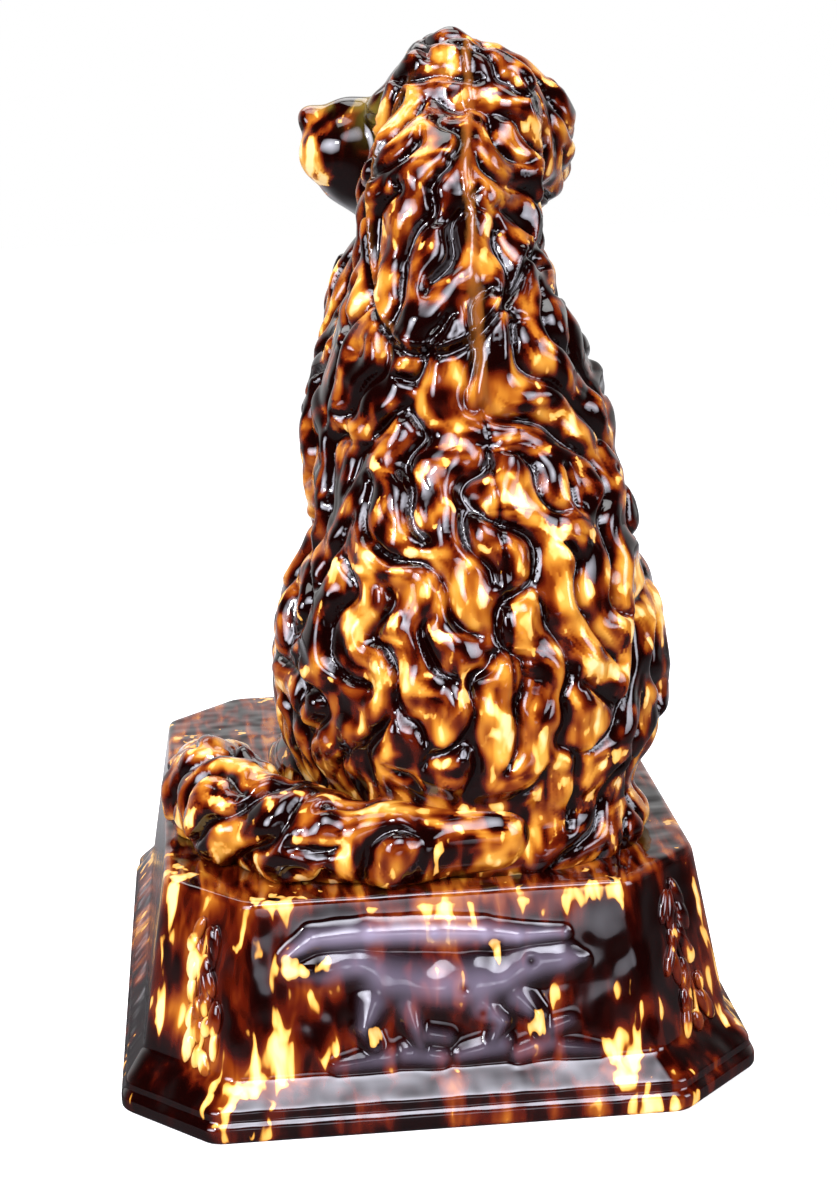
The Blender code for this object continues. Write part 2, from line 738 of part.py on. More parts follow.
def pressed_halves(skin, hollow, home, cutters, dog, head):
    """Body and head, each in two pressings that meet where their moulds part.

    The body parts along the dog's middle. The head parts through both ears, into face and back.
    """
    far = CUTTER_REACH
    below_neck = box_cutter("below_neck", (-far, -far, GAP), (far, far, NECK_JOINT - GAP / 2), cutters, dog)
    above_neck = box_cutter("above_neck", (-far, -far, NECK_JOINT + GAP / 2), (far, far, far), cutters, dog)
    parting = head @ Matrix.Translation((0, EAR_PARTING, 0)) @ Matrix.Rotation(EAR_PARTING_LEAN, 4, "X")
    moulds = {
        "body_left_half": ((GAP / 2, -far, -far), (far, far, far), dog, below_neck),
        "body_right_half": ((-far, -far, -far), (-GAP / 2, far, far), dog, below_neck),
        "head_face_half": ((-far, -far, -far), (far, -GAP / 2, far), parting, above_neck),
        "head_back_half": ((-far, GAP / 2, -far), (far, far, far), parting, above_neck),
    }
    pieces = []
    for name, (low, high, frame, level) in moulds.items():
        piece = add_object(name, skin.copy(), home)
        cut(piece, box_cutter(f"{name}_mould", low, high, cutters, frame), "INTERSECT")
        cut(piece, level, "INTERSECT")
        cut(piece, hollow, "DIFFERENCE")
        pieces.append(piece)
    return pieces


def luted_piece(name, mesh, neighbours, ground, home):
    """A piece pressed by itself, then cut back to fit the deck and the pieces that it joins."""
    piece = add_object(name, mesh, home)
    cut(piece, ground, "DIFFERENCE")
    for neighbour in neighbours:
        cut(piece, neighbour, "DIFFERENCE")
    return piece


def build():
    for obj in list(bpy.data.objects):
        bpy.data.objects.remove(obj)
    home = collection("pottery_dog_figure")
    cutters = collection("cutters")
    dog = dog_frame()
    head = dog @ head_frame()

    walls = ("front", "front_left", "left", "rear_left", "rear", "rear_right", "right", "front_right")
    pieces = []
    for number, side in enumerate(walls):
        kind = "corner" if number % 2 else "wall"
        pieces.append(plinth_wall(f"plinth_{side}_{kind}", number, home))
    pieces.append(plinth_deck(home, cutters))

    masses = placed(body_lumps(), dog)
    masses += placed(skull_lumps() + face_lumps() + ear_lumps(), head)
    hair = (SEED_BOX, SEED_CANDIDATES, coat_at, coat_pull)
    skin = clay_mesh("dog_skin", masses, SKIN_VOXEL, BODY_FACES, hair, coat_cover)
    hollow_mesh = clay_mesh("hollow", hollow_lumps(dog, head), CORE_VOXEL, CORE_FACES)
    hollow = as_cutter(add_object("hollow", hollow_mesh, cutters))
    pieces += pressed_halves(skin, hollow, home, cutters, dog, head)

    far = CUTTER_REACH
    ground = box_cutter("ground", (-far, -far, -far), (far, far, PLINTH_HEIGHT + GAP), cutters, Matrix())
    body_room = [as_cutter(add_object("body_room", grown_copy(skin, 1.5 * GAP), cutters))]
    for side, word in ((1, "left"), (-1, "right")):
        leg = clay_mesh(f"foreleg_{word}", placed(foreleg_lumps(side), dog), LIMB_VOXEL, FORELEG_FACES)
        pieces.append(luted_piece(f"foreleg_{word}", leg, body_room, ground, home))
        paw = clay_mesh(f"hind_paw_{word}", placed(hind_paw_lumps(side), dog), LIMB_VOXEL, PAW_FACES)
        pieces.append(luted_piece(f"hind_paw_{word}", paw, body_room, ground, home))
    hair = (TAIL_SEED_BOX, TAIL_CANDIDATES, tail_coat_at, tail_pull)
    tail = clay_mesh("tail", placed(tail_lumps(), dog), SKIN_VOXEL, TAIL_FACES, hair, tail_cover)
    pieces.append(luted_piece("tail", tail, body_room, ground, home))

    for piece in pieces:
        colour = (0.30, 0.11, 0.03) if piece.name.startswith("plinth") else (0.42, 0.18, 0.05)
        piece.data.materials.append(clay_material(f"{piece.name}_glaze", colour))
        if not piece.name.startswith("plinth"):
            piece.data.shade_smooth()


build()
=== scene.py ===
# %% [markdown]
# # A pottery dog under a mottled brown glaze
#
# A long-haired dog sits on a stepped plinth, its back towards us and its head turned to its own
# left. Such a figure is pressed in plaster moulds, a few pieces at a time. The pieces are luted
# together with slip while the clay is soft, and one dark glaze is sponged and run over them all.
#
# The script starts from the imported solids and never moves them. Each one is replaced by a piece
# of the same mass with a finer skin, and the glaze is a material built from nodes.

# %% Load the fixed frame
import json
import math
from copy import copy

import bmesh
import bpy
import numpy as np
from mathutils import Euler, Matrix, Vector
from mathutils.kdtree import KDTree

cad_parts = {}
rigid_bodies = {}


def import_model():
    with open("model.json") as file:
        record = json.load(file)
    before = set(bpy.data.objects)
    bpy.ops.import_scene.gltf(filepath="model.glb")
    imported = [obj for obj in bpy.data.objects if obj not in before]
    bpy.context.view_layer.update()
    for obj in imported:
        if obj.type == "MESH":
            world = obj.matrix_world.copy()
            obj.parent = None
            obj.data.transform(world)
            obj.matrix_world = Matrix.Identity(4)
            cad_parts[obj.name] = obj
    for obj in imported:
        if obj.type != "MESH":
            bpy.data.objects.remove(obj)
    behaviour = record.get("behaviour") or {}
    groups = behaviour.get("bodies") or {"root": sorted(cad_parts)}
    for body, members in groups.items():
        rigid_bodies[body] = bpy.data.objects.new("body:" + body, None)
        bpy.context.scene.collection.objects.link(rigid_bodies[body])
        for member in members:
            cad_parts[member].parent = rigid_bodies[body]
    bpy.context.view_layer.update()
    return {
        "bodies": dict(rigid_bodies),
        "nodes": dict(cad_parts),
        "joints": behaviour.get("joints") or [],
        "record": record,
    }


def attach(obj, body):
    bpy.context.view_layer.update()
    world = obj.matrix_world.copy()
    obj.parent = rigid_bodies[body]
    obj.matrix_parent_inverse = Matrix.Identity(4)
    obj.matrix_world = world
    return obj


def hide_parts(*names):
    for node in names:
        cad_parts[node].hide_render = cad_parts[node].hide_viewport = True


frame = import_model()
MM = 0.001

# %% [markdown]
# ## Camera
#
# The photograph looks down a little on the dog's back. The four corners of the plinth's foot and
# the outline of the dog fix where the camera stood: almost straight behind the plinth, raised by
# 15 degrees, and rolled by less than 2 degrees.

# %% Camera
CAMERA_AZIMUTH = math.radians(4.90)
CAMERA_ELEVATION = math.radians(14.66)
CAMERA_ROLL = math.radians(-1.83)
CAMERA_DISTANCE = 901 * MM
CAMERA_TARGET = Vector((-6.7, 0, 152.4)) * MM
CAMERA_LENS = 69
CAMERA_SENSOR = 36


def put(name, data):
    """A new object, linked to the scene."""
    item = bpy.data.objects.new(name, data)
    bpy.context.scene.collection.objects.link(item)
    return item


def make_camera():
    data = bpy.data.cameras.new("camera")
    data.lens, data.sensor_width, data.clip_start = CAMERA_LENS, CAMERA_SENSOR, 0.01
    camera = put("camera", data)
    level = math.cos(CAMERA_ELEVATION)
    back = Vector((
        math.sin(CAMERA_AZIMUTH) * level, math.cos(CAMERA_AZIMUTH) * level, math.sin(CAMERA_ELEVATION),
    ))
    aim = back.to_track_quat("Z", "Y").to_matrix() @ Matrix.Rotation(CAMERA_ROLL, 3, "Z")
    camera.matrix_world = Matrix.Translation(CAMERA_TARGET + back * CAMERA_DISTANCE) @ aim.to_4x4()
    bpy.context.scene.camera = camera


make_camera()
print("camera at", [round(value, 3) for value in bpy.context.scene.camera.matrix_world.translation])

# %% [markdown]
# ## Masses of clay
#
# A modeller first blocks a dog out in lumps: rump, ribs, chest, neck, skull. The same is done
# here. Each mass is an ellipsoid or a tapered limb of known size, and a smooth union melts them
# into one another. The sizes are those of the solids in the frame, in millimetres, so the finer
# skin lands on the solids that it replaces.

# %% Lumps, limbs and clay
PLINTH_HEIGHT = 79.5 * MM
DOG_SIDE_SHIFT = -19 * MM
DOG_REAR_SHIFT = 24 * MM
DOG_TURN = 6.0
HEAD_TURN = 64.0
HEAD_CENTRE = Vector((-19, -36, 249)) * MM
NECK_JOINT = 176 * MM
LIMB_BALLS = 10


class Lump:
    """An ellipsoid of clay: a centre, three half-lengths and a turn in degrees, in millimetres."""

    def __init__(self, centre, radii, turn=(0, 0, 0), blend=12):
        spin = Euler([math.radians(angle) for angle in turn]).to_matrix().to_4x4()
        self.place = Matrix.Translation(Vector(centre) * MM) @ spin
        self.radii = np.array(radii, float) * MM
        self.blend = blend * MM

    def moved(self, matrix):
        moved = copy(self)
        moved.place = matrix @ self.place
        return moved

    def distance(self, points):
        inverse = np.array(self.place.inverted())
        local = points @ inverse[:3, :3].T + inverse[:3, 3]
        near = np.linalg.norm(local / self.radii, axis=1) + 1e-9
        slope = np.linalg.norm(local / self.radii**2, axis=1) + 1e-9
        return near * (near - 1) / slope

    def rough_shape(self, shape):
        stretch = Matrix.Diagonal((*self.radii, 1))
        bmesh.ops.create_icosphere(shape, subdivisions=4, radius=1, matrix=self.place @ stretch)


class Limb:
    """A round limb that tapers from one end to the other, in millimetres."""

    def __init__(self, start, end, start_radius, end_radius, blend=12):
        self.start, self.end = Vector(start) * MM, Vector(end) * MM
        self.start_radius, self.end_radius = start_radius * MM, end_radius * MM
        self.blend = blend * MM

    def moved(self, matrix):
        moved = copy(self)
        moved.start, moved.end = matrix @ self.start, matrix @ self.end
        return moved

    def distance(self, points):
        start, along = np.array(self.start), np.array(self.end - self.start)
        share = np.clip((points - start) @ along / (along @ along), 0, 1)
        radius = self.start_radius + (self.end_radius - self.start_radius) * share
        return np.linalg.norm(points - start - share[:, None] * along, axis=1) - radius

    def rough_shape(self, shape):
        for share in np.arange(LIMB_BALLS + 1) / LIMB_BALLS:
            radius = self.start_radius + (self.end_radius - self.start_radius) * share
            centre = Matrix.Translation(self.start.lerp(self.end, share))
            bmesh.ops.create_icosphere(shape, subdivisions=3, radius=radius, matrix=centre)


class Clay:
    """Lumps and limbs melted into one mass."""

    def __init__(self, lumps):
        self.lumps = lumps

    def distance(self, points):
        total = self.lumps[0].distance(points)
        for lump in self.lumps[1:]:
            other = lump.distance(points)
            share = np.clip(0.5 + 0.5 * (total - other) / lump.blend, 0, 1)
            total = total + (other - total) * share - lump.blend * share * (1 - share)
        return total

    def normal(self, points):
        step = 0.5 * MM
        slopes = [
            self.distance(points + step * axis) - self.distance(points - step * axis)
            for axis in np.eye(3)
        ]
        slopes = np.stack(slopes, axis=1)
        return slopes / (np.linalg.norm(slopes, axis=1)[:, None] + 1e-12)

    def onto_surface(self, points, rounds=4):
        for _ in range(rounds):
            points = points - self.normal(points) * self.distance(points)[:, None]
        return points


def placed(lumps, matrix):
    return [lump.moved(matrix) for lump in lumps]


# %% Where the dog and its head are
def dog_frame():
    """Dog's frame in the plinth's: the deck is at z 0 and the dog faces -y."""
    place = Matrix.Translation((DOG_SIDE_SHIFT, DOG_REAR_SHIFT, PLINTH_HEIGHT))
    return place @ Matrix.Rotation(math.radians(DOG_TURN), 4, "Z")


def head_frame():
    """Head's frame in the dog's: the skull is at the origin and faces -y."""
    return Matrix.Translation(HEAD_CENTRE) @ Matrix.Rotation(math.radians(HEAD_TURN), 4, "Z")


DOG = dog_frame()
HEAD = DOG @ head_frame()


def in_frame(points, matrix):
    """The points as seen from a frame, in millimetres."""
    inverse = np.array(matrix.inverted())
    return (points @ inverse[:3, :3].T + inverse[:3, 3]) / MM


# %% The dog's masses
def both_sides(make):
    """The left piece and its mirror on the right."""
    return [make(1), make(-1)]


def body_lumps():
    """Rump, ribs, chest, thighs, shoulders and neck."""
    lumps = [
        Lump((0, 46, 52), (59, 48, 56)),
        Lump((0, 46, 6), (60, 45, 18), blend=14),
        Lump((-1, 39, 98), (57, 45, 54), blend=20),
        Lump((-2.5, 12, 130), (55, 46, 59), blend=20),
        Lump((0, 19, 169), (41, 35, 42), blend=20),
        Lump((0, -34, 140), (34, 27, 50), blend=16),
        Lump((9, -32, 180), (32, 26, 41), blend=16),
    ]
    lumps += both_sides(lambda side: Lump((44 * side, 19, 59), (28, 46, 50), blend=11))
    lumps += both_sides(lambda side: Lump((33 * side - 1, -10, 137), (20.5, 33, 47), blend=14))
    return lumps + [Limb((0, 8, 172), (1, 0, 230), 37, 29, blend=16)]


def skull_lumps():
    return [Lump((0, 4, -1), (31, 34, 32)), Lump((0, -9, 22), (18, 17, 17), blend=10)]


def face_lumps():
    """Brow, muzzle, jaw and throat."""
    lumps = [
        Lump((0, -18, 11), (22, 18, 18), blend=8),
        Limb((0, -26, 3), (0, -57.5, 4), 15, 9, blend=6),
        Lump((0, -44, -15), (12, 17, 11), blend=7),
        Lump((0, -63, 7), (8.5, 5, 6), blend=2),
        Limb((0, -19, -22), (0, 1, -58), 24, 28, blend=14),
    ]
    lumps += both_sides(lambda side: Lump((12 * side, -30, 13), (8, 7, 6), blend=5))
    lumps += both_sides(lambda side: Lump((8 * side, -50, -5), (10, 16.5, 13), blend=5))
    lumps += both_sides(lambda side: Lump((20 * side, -12, -14), (14, 19, 17), blend=8))
    return lumps


def ear_lumps():
    """Long ears, flat against the cheeks. The right one is carried higher and further forward."""
    lumps = []
    for side, swing, lift in ((1, 0, 0), (-1, 6, 6)):
        back, drop = 30 - swing / 2, lift / 3
        lumps += [
            Lump((30 * side, 2 - swing / 2, 9 - drop), (10, back, 27 - drop), (0, -10 * side, 0), 8),
            Lump((36 * side, -swing, lift - 20), (9.5, back + 1, 30 - lift), blend=10),
            Lump(
                (36 * side, -2.4 * swing, lift - 42), (8.5, 27 - swing, 25 - lift / 2),
                (0, 5 * side, 0), 8,
            ),
        ]
    return lumps


def foreleg_lumps(side):
    return [
        Limb((29 * side, -44, 108), (28 * side, -60, 19), 17, 12.5, blend=10),
        Lump((27 * side, -67, 10), (14, 22, 12), blend=6),
    ]


def hind_paw_lumps(side):
    return [
        Lump((57 * side, -27, 9), (13, 28, 13), blend=5),
        Lump((57 * side, -46, 7), (12, 12, 9), blend=5),
    ]


def tail_path():
    """Middle of the tail with its radius, in the dog's frame: root first, tip last."""
    return [
        ((5.5, 80, 13), 14),
        ((39.5, 80.5, 13), 13),
        ((70.5, 67, 14), 14.5),
        ((90, 43, 15), 17),
        ((96, 14, 15), 17),
        ((94.5, -12, 12), 13),
        ((88.5, -29.5, 8), 7.5),
    ]


def tail_lumps():
    path = tail_path()
    return [
        Limb(middle, next_middle, radius, next_radius, blend=8)
        for (middle, radius), (next_middle, next_radius) in zip(path, path[1:])
    ]


def applied_lumps():
    """Every mass that is pressed by itself and luted on."""
    limbs = foreleg_lumps(1) + foreleg_lumps(-1) + hind_paw_lumps(1) + hind_paw_lumps(-1)
    return placed(limbs + tail_lumps(), DOG)


dog_masses = placed(body_lumps(), DOG) + placed(skull_lumps() + face_lumps() + ear_lumps(), HEAD)
print("masses in the dog:", len(dog_masses))

# %% [markdown]
# ## Skin
#
# The masses are first joined by a voxel remesh, which gives an even net of small quads. Every
# point then slides onto the smooth union, and is eased towards the middle of its neighbours, so
# that the steps of the voxels are gone before any hair is carved.

# %% Skin over the masses
SKIN_VOXEL = 0.95 * MM
LIMB_VOXEL = 0.9 * MM


def evaluated_mesh(obj, name):
    graph = bpy.context.evaluated_depsgraph_get()
    mesh = bpy.data.meshes.new_from_object(obj.evaluated_get(graph))
    mesh.name = name
    return mesh


def mesh_from(shape, name):
    mesh = bpy.data.meshes.new(name)
    shape.to_mesh(mesh)
    shape.free()
    return mesh


def rough_union(name, lumps, voxel):
    shape = bmesh.new()
    for lump in lumps:
        lump.rough_shape(shape)
    mesh = mesh_from(shape, name)
    obj = put(name, mesh)
    remesh = obj.modifiers.new("Clay", "REMESH")
    remesh.mode = "VOXEL"
    remesh.voxel_size = voxel
    joined = evaluated_mesh(obj, name)
    bpy.data.objects.remove(obj)
    bpy.data.meshes.remove(mesh)
    return joined


def mesh_points(mesh):
    points = np.empty(len(mesh.vertices) * 3)
    mesh.vertices.foreach_get("co", points)
    return points.reshape(-1, 3)


def edge_ends(mesh):
    ends = np.empty(len(mesh.edges) * 2, int)
    mesh.edges.foreach_get("vertices", ends)
    return ends.reshape(-1, 2)


def neighbour_sum(values, ends, weight=1.0):
    """For each point, what its neighbours have, each times the weight of the edge between them."""
    first, second = ends.T
    total = np.bincount(first, weight * values[second], len(values))
    return total + np.bincount(second, weight * values[first], len(values))


def evened(values, ends, rounds, pull=0.5):
    """Each value moved towards the mean of its neighbours'."""
    flat = values.reshape(len(values), -1)
    count = np.bincount(ends.ravel(), minlength=len(flat))
    for _ in range(rounds):
        total = np.stack([neighbour_sum(column, ends) for column in flat.T], axis=1)
        flat = (1 - pull) * flat + pull * total / count[:, None]
    return flat.reshape(values.shape)


def smooth_skin(name, lumps, voxel):
    """The skin's mesh, its points on the smooth union, and the normals there."""
    clay = Clay(lumps)
    mesh = rough_union(name, lumps, voxel)
    points = clay.onto_surface(mesh_points(mesh), 4)
    points = clay.onto_surface(evened(points, edge_ends(mesh), 3), 2)
    return mesh, points, clay.normal(points), clay


# %% [markdown]
# ## Strands of hair
#
# The coat is made of thick wavy strands that the modeller drew in the clay with a tool: plump
# ridges, about as wide as a thumb is thick, that bend one way and back as they run down, fork,
# and end against one another. A thin dark furrow parts them, and finer scores run along each.
#
# Such a pattern of stripes that follows a direction is grown here from seeds scattered over the
# skin. Each seed is a small patch of even ripples that run with the coat. The seeds shift their
# ripples until they meet their neighbours' in step, and the sum of them all gives every point
# its place across a strand: 0 on the ridge, a half turn in the furrow.

# %% Growing the strands
STRAND_SEED = 7
SEED_BOX = ((-95, -105, -10), (95, 120, 300))
TAIL_SEED_BOX = ((-20, -50, -5), (125, 110, 50))
SEED_CANDIDATES, TAIL_CANDIDATES = 60000, 9000
SEED_ROOM = 0.42
SEED_NEIGHBOURS = 14
# reach and spread of a seed's ripples, and spread of its pull on others, in widths of a strand
SEED_REACH, SEED_SPREAD, SEED_PULL = 1.1, 0.45, 0.9
IN_STEP_ROUNDS = 24
NEAR_SKIN, ON_SKIN = 12 * MM, 0.1 * MM


def smooth_step(low, high, values):
    share = np.clip((values - low) / (high - low), 0, 1)
    return share * share * (3 - 2 * share)


def drift(points, size, seed):
    """A smooth number from -1 to 1 that wanders over the given size, in millimetres."""
    rng = np.random.default_rng(seed)
    total = np.zeros(len(points))
    for _ in range(7):
        way = rng.normal(size=3)
        way *= 2 * math.pi / (size * rng.uniform(0.8, 2.2)) / np.linalg.norm(way)
        total += np.sin(points @ way + rng.uniform(0, 2 * math.pi))
    return np.clip(total / 2.6, -1, 1)


class Coat:
    """The hair of one region: strand width, height and length of a bend in mm, bend in degrees."""

    def __init__(self, width, height, bend_length, bend):
        self.numbers = np.array((width, height, bend_length, bend), float)


BIG_CURLS = Coat(15.0, 4.0, 40, 56)
SHOULDER_STRANDS = Coat(9.0, 2.6, 52, 28)
EAR_CURLS = Coat(11.5, 3.0, 32, 50)
RUMP_WAVES = Coat(14.0, 2.4, 30, 50)
TAIL_CURLS = Coat(15.0, 3.6, 36, 46)
FEATHERS = Coat(7.0, 1.2, 30, 20)


def coat_at(points):
    """Width, height, bend length and bend of the strands at each point."""
    dog, head = in_frame(points, DOG), in_frame(points, HEAD)
    chest = smooth_step(22, -6, dog[:, 1] + 0.35 * np.abs(dog[:, 0])) * smooth_step(60, 90, dog[:, 2])
    numbers = BIG_CURLS.numbers + chest[:, None] * (SHOULDER_STRANDS.numbers - BIG_CURLS.numbers)
    low = smooth_step(46, 26, dog[:, 2])
    numbers = numbers + low[:, None] * (RUMP_WAVES.numbers - numbers)
    on_head = smooth_step(62, 50, np.linalg.norm(head, axis=1) * 0.8)
    on_head = smooth_step(-64, -50, head[:, 2]) * on_head
    return numbers + on_head[:, None] * (EAR_CURLS.numbers - numbers)


def coat_pull(points):
    """Which way the hair hangs: down, outwards over the shoulders and back over the haunches."""
    dog, head = in_frame(points, DOG), in_frame(points, HEAD)
    upper = smooth_step(95, 150, dog[:, 2])
    aside = np.clip(dog[:, 0] / 22, -1, 1)
    local = np.stack([0.5 * upper * aside, 0.28 - 0.55 * upper, -np.ones(len(dog))], axis=1)
    pull = local @ np.array(DOG)[:3, :3].T
    crown = smooth_step(8, 30, head[:, 2])[:, None]
    back = np.array(HEAD)[:3, :3] @ np.array((0, 1.0, -0.4))
    return pull * (1 - crown) + back * crown


def strand_ways(points, normals, coat, pull):
    """Along and across the strands at each point, as unit directions, and the coat's numbers."""
    numbers = coat(points)
    along = pull(points) - normals * np.sum(normals * pull(points), axis=1)[:, None]
    along = along / (np.linalg.norm(along, axis=1)[:, None] + 1e-9)
    dog = in_frame(points, DOG)
    swing = np.sin(2 * math.pi * dog[:, 2] / numbers[:, 2] + 3.4 * drift(dog, 52, 3))
    angles = np.radians(numbers[:, 3]) * (0.75 * swing + 0.85 * drift(dog, 22, 4))
    across = np.cross(normals, along)
    bent = along * np.cos(angles)[:, None] + across * np.sin(angles)[:, None]
    return bent, np.cross(normals, bent), numbers


def scattered(clay, box, count, room):
    """Seeds over the surface inside a box of the dog's frame, each with its own room in metres."""
    rng = np.random.default_rng(STRAND_SEED)
    frame = np.array(DOG)
    found = rng.uniform(*box, (count, 3)) * MM @ frame[:3, :3].T + frame[:3, 3]
    found = found[np.abs(clay.distance(found)) < NEAR_SKIN]
    found = clay.onto_surface(found, 5)
    found = found[np.abs(clay.distance(found)) < ON_SKIN]
    rooms = room(found)
    kept, chosen = np.empty((len(found), 3)), []
    for number, point in enumerate(found):
        others = kept[:len(chosen)] - point
        if not chosen or np.einsum("ij,ij->i", others, others).min() > rooms[number] ** 2:
            kept[len(chosen)] = point
            chosen.append(number)
    return found[chosen]


def tree_of(points):
    tree = KDTree(len(points))
    for number, point in enumerate(points):
        tree.insert(point, number)
    tree.balance()
    return tree


class Strands:
    """Seeds of ripples over a clay, shifted until their ripples are in step."""

    def __init__(self, clay, box, candidates, coat, pull):
        self.coat, self.pull = coat, pull
        self.seeds = scattered(clay, box, candidates, lambda found: coat(found)[:, 0] * SEED_ROOM * MM)
        self.normals = clay.normal(self.seeds)
        _, across, numbers = strand_ways(self.seeds, self.normals, coat, pull)
        self.width = numbers[:, 0] * MM
        self.ripple = across * (2 * math.pi / self.width)[:, None]
        tree = tree_of(self.seeds)
        near = [[found[1] for found in tree.find_n(seed, SEED_NEIGHBOURS)] for seed in self.seeds]
        near = np.array(near)
        apart = self.seeds[:, None] - self.seeds[near]
        weight = np.exp(-np.sum(apart**2, axis=2) / (SEED_PULL * self.width[:, None]) ** 2)
        weight *= np.clip(np.einsum("ik,ijk->ij", self.normals, self.normals[near]), 0, 1)
        turn = np.sum(apart * (self.ripple[:, None] + self.ripple[near]) / 2, axis=2)
        self.shift = np.random.default_rng(STRAND_SEED).uniform(0, 2 * math.pi, len(self.seeds))
        for _ in range(IN_STEP_ROUNDS):
            self.shift = np.angle(np.sum(weight * np.exp(1j * (turn + self.shift[near])), axis=1))

    def at(self, points, normals):
        """Turn across its strand for each point, how sure that is, and the strand's direction there."""
        along, across, numbers = strand_ways(points, normals, self.coat, self.pull)
        ripple = across * (2 * math.pi / (numbers[:, 0] * MM))[:, None]
        tree = tree_of(points)
        total, weights = np.zeros(len(points), complex), np.full(len(points), 1e-9)
        seeds = zip(self.seeds, self.normals, self.ripple, self.shift, self.width)
        for seed, normal, own, shift, width in seeds:
            near = [found[1] for found in tree.find_range(seed, SEED_REACH * width)]
            if not near:
                continue
            apart = points[near] - seed
            weight = np.exp(-np.sum(apart**2, axis=1) / (SEED_SPREAD * width) ** 2)
            weight *= np.clip(normals[near] @ normal, 0, 1)
            turn = shift + np.sum(apart * (own + ripple[near]) / 2, axis=1)
            total[near] += weight * np.exp(1j * turn)
            weights[near] += weight
        return np.angle(total), np.abs(total) / weights, along, numbers


# %% Carving the strands into a skin
PLUMPNESS = 3.0
OVERLAP = 0.22
SCORE_DEPTH = 0.35 * MM
FURROW_DEPTH = 1.0 * MM
BETWEEN_STRANDS, STRAND_MIDDLE = 0.55, 0.45
STREAK_SEED, STREAK_ROUNDS = 11, 26


def streaks(points, ends, along):
    """Even chances from 0 to 1 for each point, drawn out into streaks that follow the strands."""
    values = evened(np.random.default_rng(STREAK_SEED).normal(size=len(points)), ends, 7)
    runs = points[ends[:, 1]] - points[ends[:, 0]]
    runs /= np.linalg.norm(runs, axis=1)[:, None] + 1e-12
    grip = np.abs(np.sum(runs * along[ends[:, 0]], axis=1)) ** 6 + 0.02
    held = neighbour_sum(np.ones(len(points)), ends, grip)
    for _ in range(STREAK_ROUNDS):
        values = 0.3 * values + 0.7 * neighbour_sum(values, ends, grip) / held
    return np.argsort(np.argsort(values)) / len(values)


def shaggy(points, normals, ends, strands, cover):
    """The points raised into strands, and what the glaze needs to know about each of them."""
    turn, sure, along, numbers = strands.at(points, normals)
    dog = in_frame(points, DOG)
    share, aside = turn / math.pi, np.abs(turn / math.pi)
    ridge = 1 - aside**PLUMPNESS + OVERLAP * share * (1 - share**2)
    whole = smooth_step(0.1, 0.5, sure)
    deep = 0.55 + 0.45 * smooth_step(-0.5, 0.5, drift(dog, 26, 9))
    furrow = smooth_step(0.66, 0.98, aside) * whole * deep
    swell = 1 + 0.4 * drift(dog, 15, 5)
    scores = 1 - np.abs(np.sin(1.5 * turn + 1.5 * drift(dog, 30, 6)))
    scores = smooth_step(0.55, 1.0, scores) * smooth_step(0.85, 0.6, aside)
    scores *= smooth_step(-0.2, 0.4, drift(dog, 24, 8))
    profile = swell * (whole * ridge + (1 - whole) * BETWEEN_STRANDS) - STRAND_MIDDLE
    raised = numbers[:, 1] * MM * profile - (FURROW_DEPTH * furrow + SCORE_DEPTH * scores)
    raised = evened(raised * cover, ends, 2, 0.4)
    plain = {name: np.zeros(len(points)) for name in ("rib", "olive", "shade")}
    return points + normals * raised[:, None], {
        "hollow": evened(np.clip(furrow + 0.4 * scores, 0, 1) * cover, ends, 1, 0.4),
        "crest": ridge * whole * cover, "streak": streaks(points, ends, along), **plain,
    }


# %% [markdown]
# ## Arithmetic on nodes
#
# A glaze is easier to read as a formula than as a picture of wires. A Wire holds one output of a
# node, and adding or multiplying wires adds the Math nodes. The Board makes any other node.

# %% Wires and the board that they run on
class Wire:
    """One output of a node, which takes part in sums."""

    def __init__(self, board, socket):
        self.board, self.socket = board, socket

    def _math(self, operation, first, second):
        return self.board.node("ShaderNodeMath", {0: first, 1: second}, operation=operation)

    def __add__(self, other):
        return self._math("ADD", self, other)

    def __sub__(self, other):
        return self._math("SUBTRACT", self, other)

    def __rsub__(self, other):
        return self._math("SUBTRACT", other, self)

    def __mul__(self, other):
        return self._math("MULTIPLY", self, other)

    __radd__, __rmul__ = __add__, __mul__

    def clamped(self):
        return self._math("MINIMUM", self._math("MAXIMUM", self, 0.0), 1.0)

    def stepped(self, low, high):
        """0 below low, 1 above high and a smooth rise between them."""
        limits = {"Value": self, "From Min": low, "From Max": high}
        return self.board.node("ShaderNodeMapRange", limits, interpolation_type="SMOOTHSTEP")


